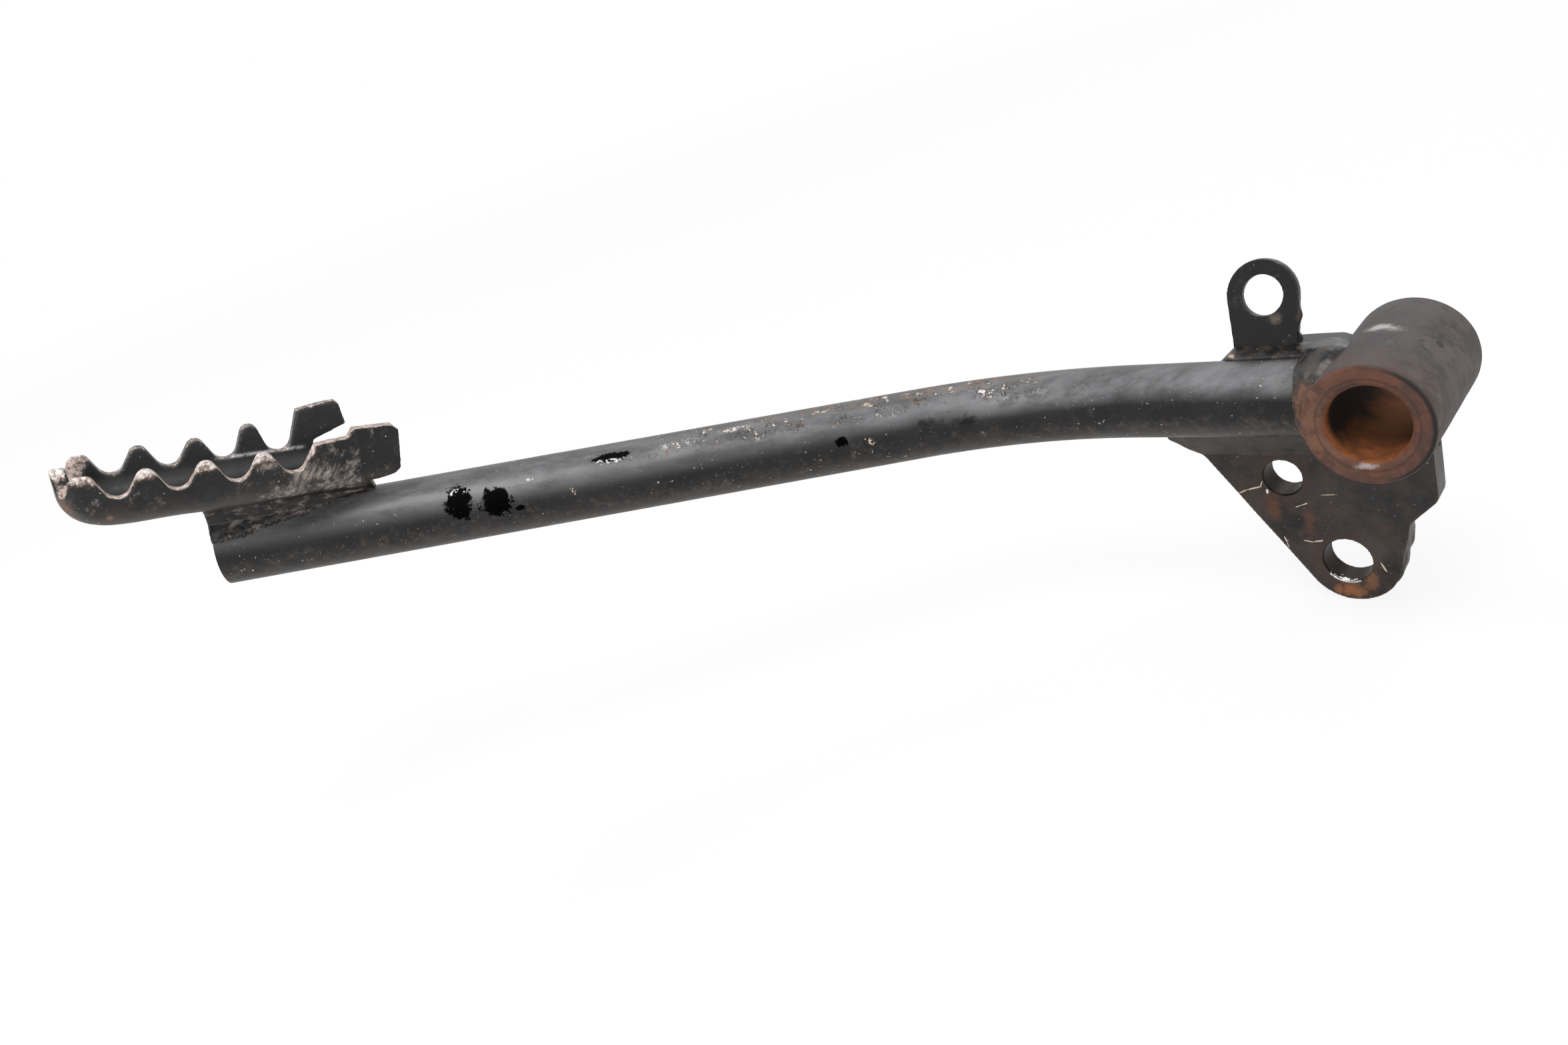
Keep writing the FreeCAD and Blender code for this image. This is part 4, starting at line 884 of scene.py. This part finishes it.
def make_tab():
    mesh = rounded_copy(["spring_tab"], TAB_GRID, 3)
    for vertex in mesh.vertices:
        grown = 0.8 * math.exp(-((vertex.co / MM - Vector(TAB_BURR)).length / 1.2) ** 2)
        vertex.co.x += grown * smooth_step(vertex.normal.x, 0.0, 0.6) * MM
    displace(mesh, lambda place, normal: 0.03 * lumps(place, 4.0, 2.0))
    mark_edges(mesh)
    return new_piece("tab_dressed", mesh, ["spring_tab"], tab_paint())


def end_rounding(radius, outward, size):
    """A quarter round from the boss's far end face to a cylinder, as radius and place along the bore."""
    points = []
    for number in range(CORNER_STEPS + 1):
        angle = math.pi / 2 * number / CORNER_STEPS
        sideways = outward * size * (1 - math.sin(angle))
        points.append((radius - sideways, BOSS_HALF - size * (1 - math.cos(angle))))
    return points


def boss_profile():
    """Radius and place along the bore, round the section from one bore mouth to the other."""
    half = end_rounding(BORE_RADIUS, -1, BORE_MOUTH)[::-1] + end_rounding(BOSS_RADIUS, 1, BOSS_RIM)
    near = [(radius, -along) for radius, along in half]
    return near + half[::-1]


def make_boss():
    """A turned ring, rounded at its rims, with slight dents."""
    profile = boss_profile()
    section = []
    for here, there in zip(profile, profile[1:] + profile[:1]):
        length = math.dist(here, there)
        count = SIDE_ROWS if length > BOSS_HALF else END_ROWS if length > 1 else 1
        for number in range(count):
            share = number / count
            section.append([a + (b - a) * share for a, b in zip(here, there)])
    work = bmesh.new()
    rings = []
    for number in range(TURN_STEPS):
        angle = 2 * math.pi * number / TURN_STEPS
        rings.append([work.verts.new((r * math.cos(angle) * MM, y * MM, r * math.sin(angle) * MM))
                      for r, y in section])
    for ring, after in zip(rings, rings[1:] + rings[:1]):
        for index in range(len(section)):
            follow = (index + 1) % len(section)
            work.faces.new((ring[index], ring[follow], after[follow], after[index]))
    bmesh.ops.recalc_face_normals(work, faces=work.faces)
    mesh = bpy.data.meshes.new("boss_dressed")
    work.to_mesh(mesh)
    work.free()

    def dented(place, normal):
        return 0.06 * lumps(place, 7.0, 4.0) + 0.02 * lumps(place, 1.5, 1.0) - 0.03

    displace(mesh, dented)
    return new_piece("boss_dressed", mesh, ["pivot_boss"], boss_paint())


def along_x(place):
    return place.x


def along_arm(place):
    return place.dot(ARM_AXIS)


def round_boss(place):
    return math.atan2(place.z, place.x) * BOSS_RADIUS


def make_weld(name, nodes, material, along, pitch_mm, ripples, swell, sunk_mm=(), on_boss=False):
    """Beads as one piece with ripples along their run, swollen by a function of the place."""
    mesh = rounded_copy(nodes, WELD_GRID, 9, sunk_mm)

    def ripple(place, normal):
        phase = along(place) / pitch_mm + 0.4 * lumps(place, 3.0, 6.0)
        wave = abs(math.sin(math.pi * phase))
        return swell(place) + ripples * wave + 0.18 * lumps(place, 3.2, 9.0) + 0.05 * lumps(place, 1.0, 2.0)

    displace(mesh, ripple)
    if on_boss:
        reach_boss(mesh)
    mark_edges(mesh)
    return new_piece(name, mesh, nodes, material)


def evenly(amount):
    """The same swelling everywhere."""
    return lambda place: amount


def root_swell(place):
    """Full against the boss and over the arm, thin at the toes on the arm and the plate."""
    boss = smooth_step(place.x, -15.0, -11.5)
    over = smooth_step(place.z, 4.0, 7.0)
    return 0.06 + 0.5 * boss + 0.3 * over


def dress_tube():
    tube = frame["nodes"]["arm_tube"]
    tube.data.materials.clear()
    tube.data.materials.append(tube_paint())


dress_tube()
make_tread()
make_plate()
make_tab()
make_boss()
plain_weld = weld_paint("weld_paint")
root_weld = weld_paint("weld_rust", (-11.8, -11.0, -2.5), (5.0, 6.5, 11.0), marks=(
    ((-13.4, -8.0, 5.6), (-10.4, -2.5, 8.9), 1.1, 1.0, (0.24, 0.24, 0.245)),
    ((-7.6, -6.9, 8.4), (-10.8, -9.8, 5.2), 0.7, 0.7, (0.15, 0.095, 0.06)),
    ((-28.5, 0.0, 7.0), (-27.4, 0.8, 7.2), 0.9, 0.9, (0.5, 0.36, 0.26)),
))
web_weld = weld_paint("weld_scuffed", scuffs=0.75, dust=0.3, grime=0.3)
ROOT_WELDS = ["weld_arm_boss", "weld_arm_plate_lower", "weld_arm_plate_upper", "weld_plate_boss_front"]
make_weld("root_welds_dressed", ROOT_WELDS, root_weld, along_x, 3.0, 0.04, root_swell,
          sunk_mm=((1.4, 0, 0), (0, 1.0, 0)), on_boss=True)
make_weld("back_weld_dressed", ["weld_plate_boss_back"], plain_weld, round_boss, 1.6, 0.14, evenly(0.12),
          on_boss=True)
make_weld("tab_weld_dressed", ["weld_tab"], plain_weld, along_x, 1.4, 0.06, evenly(-0.12))
make_weld("tread_weld_dressed", ["weld_tread"], web_weld, along_arm, 2.6, 0.05, evenly(0.32),
          sunk_mm=((-0.4, 0.4, -0.8),))
